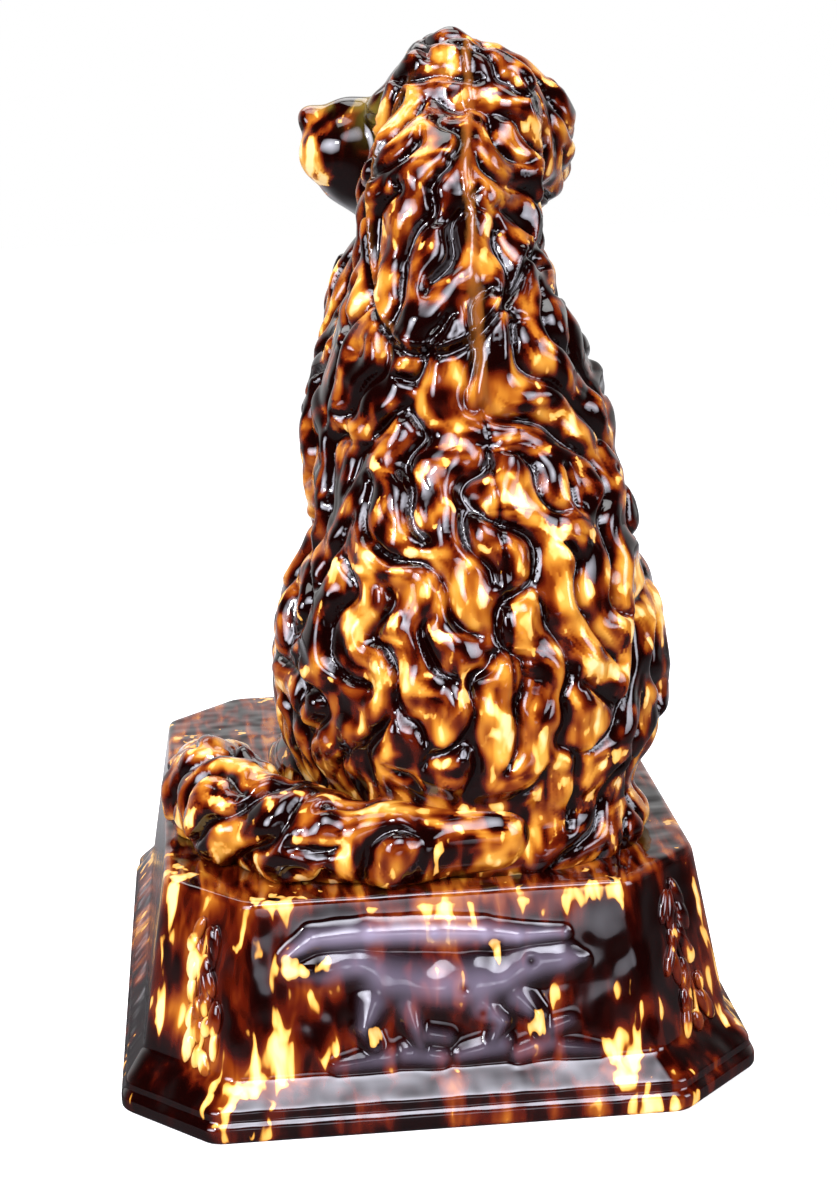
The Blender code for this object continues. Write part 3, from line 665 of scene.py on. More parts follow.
class Board:
    """A tree of nodes, filled through one method."""

    def __init__(self, tree):
        self.tree = tree
        self.shader = tree.nodes.get("Principled BSDF")

    def node(self, kind, inputs, output=0, **settings):
        made = self.tree.nodes.new(kind)
        for name, value in settings.items():
            setattr(made, name, value)
        for name, value in inputs.items():
            self.feed(made.inputs[name], value)
        return Wire(self, made.outputs[output])

    def feed(self, socket, value):
        if isinstance(value, Wire):
            self.tree.links.new(value.socket, socket)
        else:
            socket.default_value = value

    def ramp(self, factor, stops):
        """Colours along a ramp: stops are (place, colour)."""
        wire = self.node("ShaderNodeValToRGB", {"Fac": factor}, "Color")
        elements = wire.socket.node.color_ramp.elements
        for element, (place, colour) in zip(elements, (stops[0], stops[-1])):
            element.position, element.color = place, (*colour, 1)
        for place, colour in stops[1:-1]:
            elements.new(place).color = (*colour, 1)
        return wire

    def blend(self, factor, first, second):
        """From one colour to another."""
        first, second = (item if isinstance(item, Wire) else (*item, 1) for item in (first, second))
        return self.node("ShaderNodeMix", {0: factor, 6: first, 7: second}, 2, data_type="RGBA")

    def attributes(self, *names):
        """Numbers that the skin carries."""
        return [self.node("ShaderNodeAttribute", {}, "Fac", attribute_name=name) for name in names]

    def noise(self, size, detail=0.0, distortion=0.0, turn=0.0):
        """Noise about 0.5, with features of the given size in millimetres, turned about z."""
        place = self.node("ShaderNodeMapping", {
            "Vector": self.node("ShaderNodeTexCoord", {}, "Object"),
            "Rotation": (0, 0, math.radians(turn)), "Scale": tuple(1.0 / MM / side for side in size),
        })
        return self.node("ShaderNodeTexNoise", {
            "Vector": place, "Scale": 1.0, "Detail": detail, "Roughness": 0.5, "Distortion": distortion,
        }, noise_dimensions="3D")

    def axes(self, space, *names):
        """How far along some axes of a space each place lies."""
        way = self.node("ShaderNodeSeparateXYZ", {"Vector": self.node("ShaderNodeTexCoord", {}, space)})
        return [Wire(self, way.socket.node.outputs[name]) for name in names]

    def rays(self, *names):
        """1 for each named kind of ray, and 0 for every other."""
        path = self.tree.nodes.new("ShaderNodeLightPath")
        return [Wire(self, path.outputs[f"Is {name} Ray"]) for name in names]


def new_material(name):
    material = bpy.data.materials.new(name)
    material.use_nodes = True
    return material, Board(material.node_tree)


# %% [markdown]
# ## Glaze
#
# The glaze is a manganese and iron brown over a buff body. It lies in two layers of formula. The
# thinness of the brown goes through a ramp: nearly black where it was sponged on thickly, amber
# where it ran thin. Where none took hold the buff shows as cream patches, with a crisp amber rim.
#
# Both follow noises of several sizes and the numbers that the carving left on the skin: the brown
# pools in the furrows and draws back from the crests. On the plinth's relief a painted sheen, a pale
# violet-grey that stands for reflected lamp light, is laid into the colour. Over it all lies a hard
# wet gloss, a little uneven where the glaze has run.

# %% Glaze colours and the two materials
BROWN_STOPS = (
    (0.00, (0.0050, 0.0004, 0.0003)),
    (0.14, (0.014, 0.0008, 0.0004)),
    (0.28, (0.075, 0.0055, 0.0012)),
    (0.40, (0.17, 0.026, 0.0030)),
    (0.52, (0.30, 0.074, 0.0070)),
    (0.66, (0.46, 0.160, 0.0150)),
    (0.82, (0.62, 0.260, 0.030)),
    (1.00, (0.72, 0.360, 0.060)),
)
CREAM_STOPS = ((0.0, (0.74, 0.330, 0.045)), (0.5, (0.90, 0.520, 0.140)), (1.0, (0.95, 0.680, 0.300)))
OLIVE = (0.17, 0.120, 0.018)
TAN_RIB = (0.38, 0.12, 0.018)
# painted sheen: a pale violet-grey that stands for lamp light reflected on the plinth's relief
PAINTED_SHEEN_GREY = (0.24, 0.20, 0.27)
GLAZE_IOR = 1.58
WAVE_STRENGTH = 0.5
DOG_WAVE, PLINTH_WAVE = 0.4 * MM, 2.4 * MM
CREAM_AT, CREAM_RIM = 0.5, 0.04


def finish_glaze(board, colour, roughness, wave, depth):
    """A hard clear gloss over the colour, with the slight waves of a glaze that has run."""
    inputs = board.shader.inputs
    board.feed(inputs["Base Color"], colour)
    board.feed(inputs["Roughness"], roughness)
    inputs["IOR"].default_value = GLAZE_IOR
    bump = {"Height": wave, "Strength": WAVE_STRENGTH, "Distance": depth}
    board.feed(inputs["Normal"], board.node("ShaderNodeBump", bump, "Normal"))


def layered(board, tone, bare):
    """Brown glaze of the given thinness, and cream where the body is bare, with an amber rim."""
    brown = board.ramp(tone.clamped(), BROWN_STOPS)
    cream = board.ramp(((bare - CREAM_AT) * 4.0).clamped(), CREAM_STOPS)
    return board.blend(bare.stepped(CREAM_AT - CREAM_RIM, CREAM_AT + CREAM_RIM), brown, cream)


def coat_glaze():
    """The dog's glaze. Each factor says how much that thing thins the brown or bares the body."""
    material, board = new_material("dog_glaze")
    hollow, crest, streak = board.attributes("hollow", "crest", "streak")
    rib, olive, shade = board.attributes("rib", "olive", "shade")
    fields = board.noise((22, 22, 30))
    patches = board.noise((7, 7, 12), 0.5, 0.3)
    flecks = board.noise((4.2, 4.2, 8), 0.5, 0.4)
    tone = (fields - 0.5) * 1.1 + (patches - 0.5) * 1.3 + (streak - 0.5) * 0.60 + crest * 0.20
    tone = tone - 0.60 * hollow + shade + 0.30
    bare = (streak - 0.5) * 0.62 + (flecks - 0.5) * 1.3 + (fields - 0.5) * 0.4 + (patches - 0.5) * 0.6
    bare = bare + 0.08 * crest - 0.55 * hollow + 0.7 * shade + 0.185
    colour = layered(board, tone, bare)
    colour = board.blend(olive * patches.stepped(0.38, 0.56) * 0.8, colour, OLIVE)
    colour = board.blend(rib * 0.6, colour, TAN_RIB)
    finish_glaze(board, colour, 0.03 + 0.06 * patches, board.noise((6, 6, 8)), DOG_WAVE)
    return material


def plinth_glaze():
    """The plinth's glaze: it ran down the upright walls and was swept over the deck. A painted sheen of
    reflected light lies on the relief.
    """
    material, board = new_material("plinth_glaze")
    edge, relief, pool = board.attributes("edge", "relief", "pool")
    flat, spots, sheen = board.attributes("flat", "bare", "sheen")
    fields = board.noise((40, 40, 44))
    patches = board.noise((12, 12, 22), 0.5, 0.3)
    runs = board.noise((4.5, 4.5, 17), 0.8, 0.5)
    swept = board.noise((5, 26, 30), 1.5, 0.6, turn=24)
    upright = (fields - 0.5) * 1.0 + (patches - 0.5) * 1.1 + (runs - 0.5) * 0.6 + 0.20 * edge + 0.14
    level = (swept - 0.5) * 1.4 + (patches - 0.5) * 0.6 + 0.30
    tone = upright * (1 - flat) + level * flat + 0.08 * relief - 0.25 * pool
    bare = (runs - 0.5) * 1.3 + (fields - 0.5) * 0.8 + (patches - 0.5) * 1.0
    bare = bare + 0.22 * edge + 0.40 * spots - 0.3 * pool - 0.12 * flat + 0.17
    # painted sheen: the relief's colour is blended towards a pale grey that stands for reflected lamp
    # light
    colour = board.blend(sheen * (0.6 + 0.6 * patches), layered(board, tone, bare), PAINTED_SHEEN_GREY)
    finish_glaze(board, colour, 0.04 + 0.06 * patches, board.noise((14, 14, 22), 1.0), PLINTH_WAVE)
    return material


GLAZES = {"dog_glaze": coat_glaze(), "plinth_glaze": plinth_glaze()}
print("glazes:", ", ".join(GLAZES))


# %% Finishing a piece
def add_values(mesh, values):
    """Numbers for the glaze, one for each point."""
    for name, numbers in values.items():
        layer = mesh.attributes.new(name, "FLOAT", "POINT")
        layer.data.foreach_set("value", numbers.astype(np.float32))


def dressed(mesh, points, values):
    """The mesh with its points moved, and with the numbers that the glaze reads."""
    mesh.vertices.foreach_set("co", np.asarray(points, np.float32).ravel())
    mesh.update()
    add_values(mesh, values)
    return mesh


def finish_piece(name, mesh, glaze, *nodes):
    """A finished piece: it rides on the body, takes its glaze, and the CAD nodes that it replaces are
    hidden.
    """
    piece = put(name, mesh)
    mesh.materials.clear()
    mesh.materials.append(GLAZES[glaze])
    mesh.shade_smooth()
    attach(piece, "root")
    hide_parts(*nodes)
    size = np.ptp(mesh_points(mesh), axis=0) / MM
    print(f"{name}: {len(mesh.polygons)} faces,", np.round(size, 1), "mm")


def half_of(mesh, point, normal):
    """What lies behind a plane, closed by a flat face, with the rim of the cut kept sharp."""
    shape = bmesh.new()
    shape.from_mesh(mesh)
    every = shape.verts[:] + shape.edges[:] + shape.faces[:]
    parted = bmesh.ops.bisect_plane(
        shape, geom=every, plane_co=point, plane_no=normal, clear_outer=True,
    )
    rim = [item for item in parted["geom_cut"] if isinstance(item, bmesh.types.BMEdge)]
    for edge in rim:
        edge.smooth = False
    bmesh.ops.triangle_fill(shape, edges=rim, use_beauty=True, use_dissolve=False, normal=normal)
    return mesh_from(shape, mesh.name)


# %% [markdown]
# ## Body and head
#
# Body and head are one coat, carved in one go so that the locks run across the neck. It is then
# parted as the moulds part: along the dog's spine, at the neck, and through both ears. A shallow
# furrow is left down the back where the halves were luted, and a rib down each ear.

# %% Carving the dog's coat
LUTED_MARGIN = 3
LUTED_FADE = 8
BARE_FACE = {"from": 18, "fade": 10, "depth": 42, "half_width": 30}
EAR_PARTING = 11.0
EAR_PARTING_LEAN = math.radians(9)
SPINE_FURROW = 0.9 * MM
EAR_RIB = 0.9 * MM


def coat_cover(points):
    """1 where the dog is shaggy, falling to 0 over the bare face and round the luted joints."""
    local = in_frame(points, HEAD)
    front = (-local[:, 1] - BARE_FACE["from"]) / BARE_FACE["fade"]
    low = (local[:, 2] + BARE_FACE["depth"]) / BARE_FACE["fade"]
    bare = np.clip(front, 0, 1) * np.clip(low, 0, 1) * (np.abs(local[:, 0]) < BARE_FACE["half_width"])
    joined = Clay(applied_lumps()).distance(points) / MM
    return (1 - bare) * np.clip((joined - LUTED_MARGIN) / LUTED_FADE, 0, 1)


def from_ear_parting(head):
    """Distance in front of the plane where the two halves of the head meet, in millimetres."""
    ahead = head[:, 1] - EAR_PARTING + math.tan(EAR_PARTING_LEAN) * head[:, 2]
    return ahead * math.cos(EAR_PARTING_LEAN)


def luted_joints(dog, head):
    """The furrow down the spine and the rib down each ear, where the halves were luted."""
    spine = np.exp(-((dog[:, 0] / 0.9) ** 2)) * smooth_step(45, 60, dog[:, 2])
    spine *= smooth_step(176, 165, dog[:, 2]) * (dog[:, 1] > 0)
    width = 1.8 + 1.0 * smooth_step(-20, -50, head[:, 2])
    rib = np.clip(1 - (from_ear_parting(head) / width) ** 2, 0, 1)
    rib *= smooth_step(20, 28, np.abs(head[:, 0])) * smooth_step(-90, -84, head[:, 2])
    return spine, rib


def ear_edge(head):
    """Round each ear's outline: how much of the flap stands up, the groove outside it, its rim."""
    step, groove, rim = (np.zeros(len(head)) for _ in range(3))
    for side, forward, drop in ((1, 0, 0), (-1, 7, 6)):
        across = head[:, 1] - 5 + forward
        across = across / np.where(across < 0, 29.5, 30)
        down = (head[:, 2] + 15.5 - drop / 2) / (51 - drop / 2)
        reach = (np.abs(across) ** 2.3 + np.abs(down) ** 2.3) ** (1 / 2.3) + 1e-6
        apart = np.hypot(across * 30, down * 51) * (1 - 1 / reach)
        here = smooth_step(12, 22, side * head[:, 0]) * smooth_step(30, 14, head[:, 2])
        step = np.maximum(step, here * smooth_step(1.0, -2.0, apart))
        groove = np.maximum(groove, here * np.exp(-(((apart - 1.6) / 1.5) ** 2)))
        rim = np.maximum(rim, here * np.exp(-(((apart + 1.2) / 1.0) ** 2)))
    return step, groove, rim


def eyelids(head):
    """The slanting slit of each eye, and the lids above and below it."""
    ahead = head[:, 1] + 33.5
    above = head[:, 2] - 9.5 + 0.45 * ahead
    aside = smooth_step(4, 8, np.abs(head[:, 0]))
    slit = np.exp(-((ahead / 4.2) ** 4) - (above / 1.0) ** 2) * aside
    lid = np.exp(-((ahead / 5.5) ** 4) - ((np.abs(above) - 2.4) / 1.0) ** 2) * aside
    return slit, lid


def shades(dog, head, muzzle):
    """How much lighter some regions are made than the rest, or darker, below 0."""
    lip = smooth_step(-49, -59, head[:, 1]) * smooth_step(3, -3, head[:, 2])
    lip *= smooth_step(-26, -16, head[:, 2])
    haunch = smooth_step(20, 44, np.abs(dog[:, 0])) * smooth_step(120, 90, dog[:, 2])
    chest = smooth_step(10, -12, dog[:, 1]) * smooth_step(100, 120, dog[:, 2])
    chest *= smooth_step(-60, -75, head[:, 2])
    nape = smooth_step(-98, -84, head[:, 2]) * smooth_step(-50, -60, head[:, 2])
    nape *= smooth_step(-5, 5, dog[:, 1])
    on_head = smooth_step(-75, -65, head[:, 2])
    shoulder = smooth_step(96, 116, dog[:, 2]) * smooth_step(26, 40, np.abs(dog[:, 0]))
    shade = muzzle * (0.9 * muzzle * lip - 0.14) - 0.08 * haunch - 0.12 * chest
    return shade - 0.26 * nape - 0.10 * on_head - 0.14 * shoulder * (1 - on_head)


def squared_nose(points, head):
    """The end of the muzzle pressed square: a flat top and an upright nose, and a full bridge."""
    ahead, up = -(head[:, 1] + 56) / 9.0, (head[:, 2] - 4) / 9.0
    round_reach = np.hypot(ahead, up) + 1e-6
    square_reach = (np.abs(ahead) ** 3 + np.abs(up) ** 3) ** (1 / 3) + 1e-6
    grow = (round_reach / square_reach - 1) * smooth_step(0.1, 0.5, ahead)
    grow *= smooth_step(-0.9, 0.0, up) * smooth_step(-48, -56, head[:, 1])
    shift = np.stack([np.zeros(len(head)), -ahead * 9.0 * grow, up * 2.0 * grow], axis=1) * MM
    return points + shift @ np.array(HEAD)[:3, :3].T


def dog_skin():
    """The whole coat in one mesh, with the joints, ears, eyes, nose and bridge worked into it."""
    mesh, points, normals, clay = smooth_skin("dog_skin", dog_masses, SKIN_VOXEL)
    strands = Strands(clay, SEED_BOX, SEED_CANDIDATES, coat_at, coat_pull)
    print("seeds of strands on the dog:", len(strands.seeds))
    points, values = shaggy(points, normals, edge_ends(mesh), strands, coat_cover(points))
    dog, head = in_frame(points, DOG), in_frame(points, HEAD)
    spine, rib = luted_joints(dog, head)
    step, groove, rim = ear_edge(head)
    slit, lid = eyelids(head)
    muzzle = smooth_step(-30, -38, head[:, 1]) * smooth_step(-45, -35, head[:, 2])
    raised = EAR_RIB * rib - SPINE_FURROW * spine
    raised += MM * (1.0 * step - 1.7 * groove + 0.9 * rim) + MM * (0.8 * lid - 1.2 * slit)
    bridge = np.exp(-(((head[:, 1] + 50) / 8) ** 2) - (head[:, 0] / 8) ** 4)
    bridge *= smooth_step(7, 11, head[:, 2])
    points = squared_nose(points + normals * raised[:, None], head)
    points = points + normals * (2.0 * MM * bridge)[:, None]
    near_eye = np.exp(-(((head[:, 1] + 33) / 8) ** 2) - ((head[:, 2] - 10) / 8) ** 2)
    near_eye = np.maximum(near_eye, muzzle * smooth_step(9, 13, head[:, 2]))
    values["hollow"] = np.max([values["hollow"], 0.8 * spine, groove, slit], axis=0)
    values["rib"] = np.maximum(rib, 0.7 * rim * (head[:, 1] < -8))
    values["shade"] = shades(dog, head, muzzle)
    values["olive"] = near_eye * (np.abs(head[:, 0]) < 30)
    return dressed(mesh, points, values)


def part_the_dog(skin):
    """Four pressings: two halves of the body, and the face and back of the head."""
    up, side = (DOG.to_3x3() @ Vector(axis) for axis in ((0, 0, 1), (1, 0, 0)))
    neck = DOG @ Vector((0, 0, NECK_JOINT))
    ear = HEAD @ Vector((0, EAR_PARTING * MM, 0))
    lean = HEAD.to_3x3() @ Vector((0, math.cos(EAR_PARTING_LEAN), math.sin(EAR_PARTING_LEAN)))
    body, head = half_of(skin, neck, up), half_of(skin, neck, -up)
    for name, mesh, point, outwards, node in (
        ("body_left_coat", body, DOG.translation, -side, "body_left_half"),
        ("body_right_coat", body, DOG.translation, side, "body_right_half"),
        ("head_face", head, ear, lean, "head_face_half"),
        ("head_back", head, ear, -lean, "head_back_half"),
    ):
        finish_piece(name, half_of(mesh, point, outwards), "dog_glaze", node)


part_the_dog(dog_skin())

# %% [markdown]
# ## Tail, forelegs and hind paws
#
# The tail is pressed by itself and laid round the haunch. Its locks cross it slantwise. The
# forelegs and paws are nearly bare, with the toes parted by the modeller's tool.

# %% Tail
ABOVE_DECK = PLINTH_HEIGHT + 0.05 * MM
TOE_FURROW = 1.5 * MM


def tail_pull(points):
    """Hair on the tail runs from its root to its tip, and falls aslant over its sides."""
    middles = np.array([middle for middle, _ in tail_path()], float)
    starts, runs = middles[:-1], np.diff(middles, axis=0)
    offsets = in_frame(points, DOG)[:, None] - starts
    part = np.clip(np.sum(offsets * runs, axis=2) / np.sum(runs * runs, axis=1), 0, 1)
    apart = np.linalg.norm(offsets - part[:, :, None] * runs, axis=2)
    along = runs[apart.argmin(axis=1)]
    along = along / np.linalg.norm(along, axis=1)[:, None] + np.array((0, 0, -0.9))
    return along @ np.array(DOG)[:3, :3].T


def one_coat(coat):
    """The same coat everywhere."""
    return lambda points: np.tile(coat.numbers, (len(points), 1))


def make_tail():
    mesh, points, normals, clay = smooth_skin("tail_locks", placed(tail_lumps(), DOG), LIMB_VOXEL)
    strands = Strands(clay, TAIL_SEED_BOX, TAIL_CANDIDATES, one_coat(TAIL_CURLS), tail_pull)
    bushy = smooth_step(18, 60, in_frame(points, DOG)[:, 0])
    points, values = shaggy(points, normals, edge_ends(mesh), strands, bushy)
    points[:, 2] = np.maximum(points[:, 2], ABOVE_DECK)
    finish_piece("tail_curl", dressed(mesh, points, values), "dog_glaze", "tail")


make_tail()


# %% Forelegs and hind paws
def make_limb(name, node, lumps, centre, front, spread):
    """A leg or a paw with furrows between its toes and a light feathering higher up."""
    mesh, points, normals, clay = smooth_skin(name, placed(lumps, DOG), LIMB_VOXEL)
    strands = Strands(clay, SEED_BOX, TAIL_CANDIDATES, one_coat(FEATHERS), coat_pull)
    local = in_frame(points, DOG)
    cover = smooth_step(20, 34, local[:, 2])
    points, values = shaggy(points, normals, edge_ends(mesh), strands, cover)
    across = (local[:, 0] - centre) / spread
    furrow = np.exp(-(((np.abs(across) % 1 - 0.5) / 0.16) ** 2)) * (np.abs(across) < 1.9)
    furrow *= smooth_step(front + 9, front, local[:, 1]) * smooth_step(1, 4, local[:, 2])
    points = points - normals * (TOE_FURROW * furrow)[:, None]
    points[:, 2] = np.maximum(points[:, 2], ABOVE_DECK)
    values["hollow"] = np.maximum(values["hollow"], furrow)
    finish_piece(name, dressed(mesh, points, values), "dog_glaze", node)


for side, word in ((1, "left"), (-1, "right")):
    leg, paw = f"foreleg_{word}", f"hind_paw_{word}"
    make_limb(f"{leg}_glazed", leg, foreleg_lumps(side), 27 * side, -74, 6.5)
    make_limb(f"{paw}_glazed", paw, hind_paw_lumps(side), 57 * side, -44, 6.0)


# %% [markdown]
# ## Plinth
#
# The plinth is an eight-sided box of slabs: a foot with two bands, a slope, and walls that lean
# in. One section is swept round the foot, with each ring of points set in by what the section
# asks and eased round the corners, so the glaze covers the joints between the slabs, as on the
# real one. The walls are finely divided, because they carry a relief.

# %% Section of the plinth
FOOT_WIDTH, FOOT_DEPTH, FOOT_CHAMFER = 230.0, 291.0, 31.5
CORNER_LEAN, SIDE_LEAN = 1.21, 0.84
WALL_TOP = 70.3
SLOPE_TOP = 19.0
SET_IN = {"bead": 2.0, "slope": 10.5, "top": 21.0}
PLINTH_WALL = 9.0
SECTION_STEP, SHOULDER_STEP = 0.7, 0.6
SIDE_STEP = {"rear": 0.7, "corner": 1.2, "other": 2.0}
CORNER_EASE = 4.0


def foot_corners():
    """Plan of the foot in millimetres, anticlockwise from above, starting at the front right."""
    x, y = FOOT_WIDTH / 2, FOOT_DEPTH / 2
    near_x, near_y = x - FOOT_CHAMFER, y - FOOT_CHAMFER
    return np.array([
        (-near_x, -y), (near_x, -y), (x, -near_y), (x, near_y),
        (near_x, y), (-near_x, y), (-x, near_y), (-x, -near_y),
    ])


def side_runs():
    corners = foot_corners()
    runs = np.roll(corners, -1, axis=0) - corners
    return runs / np.linalg.norm(runs, axis=1)[:, None]


def corner_travel():
    """How far each corner moves in plan for each millimetre that the long walls are set in."""
    runs = side_runs()
    travels = []
    for number in range(8):
        sides = (number - 1) % 8, number
        inwards = [(-runs[side][1], runs[side][0]) for side in sides]
        shifts = [CORNER_LEAN if side % 2 else SIDE_LEAN if side % 4 else 1.0 for side in sides]
        travels.append(np.linalg.solve(np.array(inwards), np.array(shifts)))
    return np.array(travels)


def resampled(points, step):
    """Points at an even step along a line of straight pieces."""
    points = np.array(points, float)
    lengths = np.linalg.norm(np.diff(points, axis=0), axis=1)
    reached = np.concatenate([[0], np.cumsum(lengths)])
    wanted = np.linspace(0, reached[-1], max(2, round(reached[-1] / step) + 1))
    return np.stack([np.interp(wanted, reached, points[:, axis]) for axis in range(2)], axis=1)


def eased(points, rounds):
    """The line with its corners rounded, its ends left where they are."""
    for _ in range(rounds):
        points[1:-1] = 0.5 * points[1:-1] + 0.25 * (points[:-2] + points[2:])
    return points


def outer_section():
    """The outside of a wall, from the bottom up: (set in, height)."""
    line = [
        (1.4, 0), (0, 1.4), (0, 5.6), (1.2, 7.2), (SET_IN["bead"], 7.6), (SET_IN["bead"], 10.8),
        (3.6, 12.4), (SET_IN["slope"], SLOPE_TOP), (SET_IN["top"], WALL_TOP),
    ]
    return eased(resampled(line, SECTION_STEP), 2)


# %% Ring round the plinth
corners, travels, runs = foot_corners(), corner_travel(), side_runs()
REAR, CORNER = 4, -1


def side_counts():
    lengths = np.linalg.norm(np.roll(corners, -1, axis=0) - corners, axis=1)
    kinds = ["corner" if side % 2 else "rear" if side == REAR else "other" for side in range(8)]
    return [round(length / SIDE_STEP[kind]) for length, kind in zip(lengths, kinds)]


def ring(set_in, ease=CORNER_EASE):
    """Points round the plinth at one set-in: the place, the wall's number and the way along it."""
    here = corners + travels * set_in
    place, wall, along = [], [], []
    for number, count in enumerate(side_counts()):
        start, end = here[number], here[(number + 1) % 8]
        run = (end - start) / np.linalg.norm(end - start)
        middle = (corners[number] + corners[(number + 1) % 8]) / 2
        first, last = start + run * ease, end - run * ease
        share = np.linspace(0, 1, count)[:, None]
        row = first + (last - first) * share
        place.append(row)
        wall.append(np.full(count, number))
        along.append((row - middle) @ run)
        onward = here[(number + 2) % 8] - end
        beyond = end + onward / np.linalg.norm(onward) * ease
        bend = np.linspace(0, 1, 6)[1:-1][:, None]
        arc = (1 - bend) ** 2 * last + 2 * bend * (1 - bend) * end + bend**2 * beyond
        place.append(arc)
        wall.append(np.full(len(arc), -1))
        along.append(np.zeros(len(arc)))
    return np.concatenate(place), np.concatenate(wall), np.concatenate(along)


print("ring of", len(ring(0)[0]), "points, section of", len(outer_section()))

# %% [markdown]
# ## Relief on the plinth
#
# The wall below the dog's back carries a hound walking to the right, under a bough and over a
# line of rough ground. It is a low relief: each limb is a tapered stroke, softly rounded, and the
# strokes melt together. The hound here is a plain one of the kind, laid out in millimetres along
# the wall and above the floor.

# %% Strokes of the relief
# Each line runs from point to point: along, height and half-width, and how far the stroke that
# ends there stands out.
HOUND = (
    ((-21.0, 51.4, 8.8), (-0.7, 47.9, 8.4, 1.0), (12.5, 47.1, 9.4, 1.0), (20.5, 48.8, 7.0, 1.0),
     (31.1, 53.2, 6.6, 1.0), (41.7, 54.1, 5.7, 1.0), (49.6, 53.6, 2.1, 0.9)),
    ((-24.0, 54.0, 6.0), (-29.0, 56.7, 6.0, 1.0), (-40.5, 55.8, 6.2, 1.0), (-53.7, 55.8, 3.1, 0.9)),
    ((-24.6, 43.5, 6.0), (-28.1, 34.8, 3.6, 0.9), (-24.6, 27.8, 2.9, 0.8)),
    ((-13.1, 41.8, 5.1), (-10.4, 33.0, 3.2, 0.7), (-8.7, 25.5, 2.6, 0.7)),
    ((13.4, 39.2, 5.5), (19.6, 33.9, 3.2, 0.9), (16.1, 26.9, 2.7, 0.8)),
    ((25.8, 42.0, 5.7), (32.0, 35.7, 3.4, 0.9), (34.6, 27.6, 2.7, 0.8)),
)
BOUGH = (
    ((-53.7, 60.2, 2.8), (-44.9, 66.0, 4.0, 1.0), (-25.4, 66.6, 4.5, 1.0), (-2.5, 65.6, 4.6, 1.0),
     (15.2, 64.4, 4.4, 1.0), (26.7, 62.8, 3.4, 1.0), (43.0, 62.6, 2.2, 0.9)),
)
GROUND = (
    ((-38.0, 21.5, 2.6), (-20.0, 23.5, 4.0, 0.9)),
    ((-14.0, 24.5, 4.2), (-2.0, 22.5, 3.4, 1.0)),
    ((-7.5, 30.5, 3.4), (0.5, 29.0, 3.0, 0.8)),
    ((5.0, 23.0, 3.2), (19.0, 25.5, 4.6, 1.0)),
    ((25.0, 22.0, 3.4), (36.0, 25.2, 4.0, 0.9)),
    ((36.0, 29.5, 3.6), (44.0, 32.0, 2.6, 0.8)),
    ((41.0, 23.0, 3.2), (54.0, 21.0, 2.2, 0.8)),
)
# the hound's eye and two dents: along, height, radius
PITS = ((31.0, 53.8, 1.7), (7.0, 46.0, 1.5), (13.2, 37.0, 1.6))
# along, height, half-length and half-height
CREAM_SPOTS = (
    (-47.0, 57.5, 9.0, 4.5), (-25.5, 31.5, 3.0, 4.5), (32.5, 35.0, 3.0, 7.0), (19.0, 57.5, 2.6, 5.0),
)
# half-width from which a stroke stands out in full, and by how much, in millimetres
HOUND_FULL, BOUGH_FULL, GROUND_FULL = 3.4, 3.0, 3.6
HOUND_HEIGHT, BOUGH_HEIGHT, GROUND_HEIGHT = 3.4, 3.4, 2.2
HOUND_TILT = 0.12
STROKE_REACH = 1.45
JOIN = 5
# radius and weight of the discs that the relief is averaged over
WEAR, WEAR_TURNS = ((0.8, 1.0), (1.6, 0.6)), 6


def stroke_cover(places, lines, full_radius):
    """1 along the middle of the strokes, falling softly to 0 at their edges."""
    total = np.zeros(len(places))
    for start, end in (pair for line in lines for pair in zip(line, line[1:])):
        first, run = np.array(start[:2]), np.array(end[:2]) - np.array(start[:2])
        share = np.clip((places - first) @ run / (run @ run), 0, 1)
        radius = start[2] + (end[2] - start[2]) * share
        apart = np.linalg.norm(places - first - share[:, None] * run, axis=1)
        inside = np.clip(1 - (apart / (STROKE_REACH * radius)) ** 2, 0, 1) ** 2
        total += (end[3] * np.minimum(radius / full_radius, 1) * inside) ** JOIN
    return total ** (1 / JOIN)


def pitted(places, values, depth):
    """The values with a share of them taken away in the hound's eye and its dents."""
    for along, height, radius in PITS:
        apart = np.hypot(places[:, 0] - along, places[:, 1] - height)
        values = values * (1 - depth * np.exp(-((apart / radius) ** 2)))
    return values


def relief_on_rear(places):
    """Height of the whole relief on the rear wall. The hound stands out more the lower it lies."""
    tall = HOUND_HEIGHT + HOUND_TILT * (50 - places[:, 1])
    tall = tall + 0.25 * drift(np.column_stack([places, np.zeros(len(places))]), 9, 12)
    hound = pitted(places, stroke_cover(places, HOUND, HOUND_FULL) * tall, 0.5)
    bough = stroke_cover(places, BOUGH, BOUGH_FULL) * BOUGH_HEIGHT
    ground = stroke_cover(places, GROUND, GROUND_FULL) * GROUND_HEIGHT
    return (hound**JOIN + bough**JOIN + ground**JOIN) ** (1 / JOIN)


def softened(places):
    """The relief averaged over small discs, as a worn mould leaves it."""
    total, weights = relief_on_rear(places), 1.0
    for reach, weight in WEAR:
        for turn in range(WEAR_TURNS):
            angle = 2 * math.pi * (turn + 0.5 * weight) / WEAR_TURNS
            aside = reach * np.array((math.cos(angle), math.sin(angle)))
            total = total + weight * relief_on_rear(places + aside)
            weights += weight
    return total / weights


def cream_on_rear(places):
    """Where the glaze ran off the relief: the hound's brush, and patches on its legs."""
    spots = [
        np.exp(-(((places[:, 0] - along) / wide) ** 4) - ((places[:, 1] - height) / high) ** 4)
        for along, height, wide, high in CREAM_SPOTS
    ]
    return np.max(spots, axis=0)


def painted_sheen_on_rear(places):
    """Painted sheen: where pale grey reflected light is laid into the colour, most on the bough, less
    on the hound and the ground.
    """
    hound = pitted(places, 0.46 * stroke_cover(places, HOUND, HOUND_FULL) ** 1.8, 1.0)
    bough = 0.90 * stroke_cover(places, BOUGH, BOUGH_FULL) ** 1.5
    ground = 0.32 * stroke_cover(places, GROUND, GROUND_FULL) ** 1.8
    return np.max([hound, bough, ground], axis=0) * (1 - cream_on_rear(places))


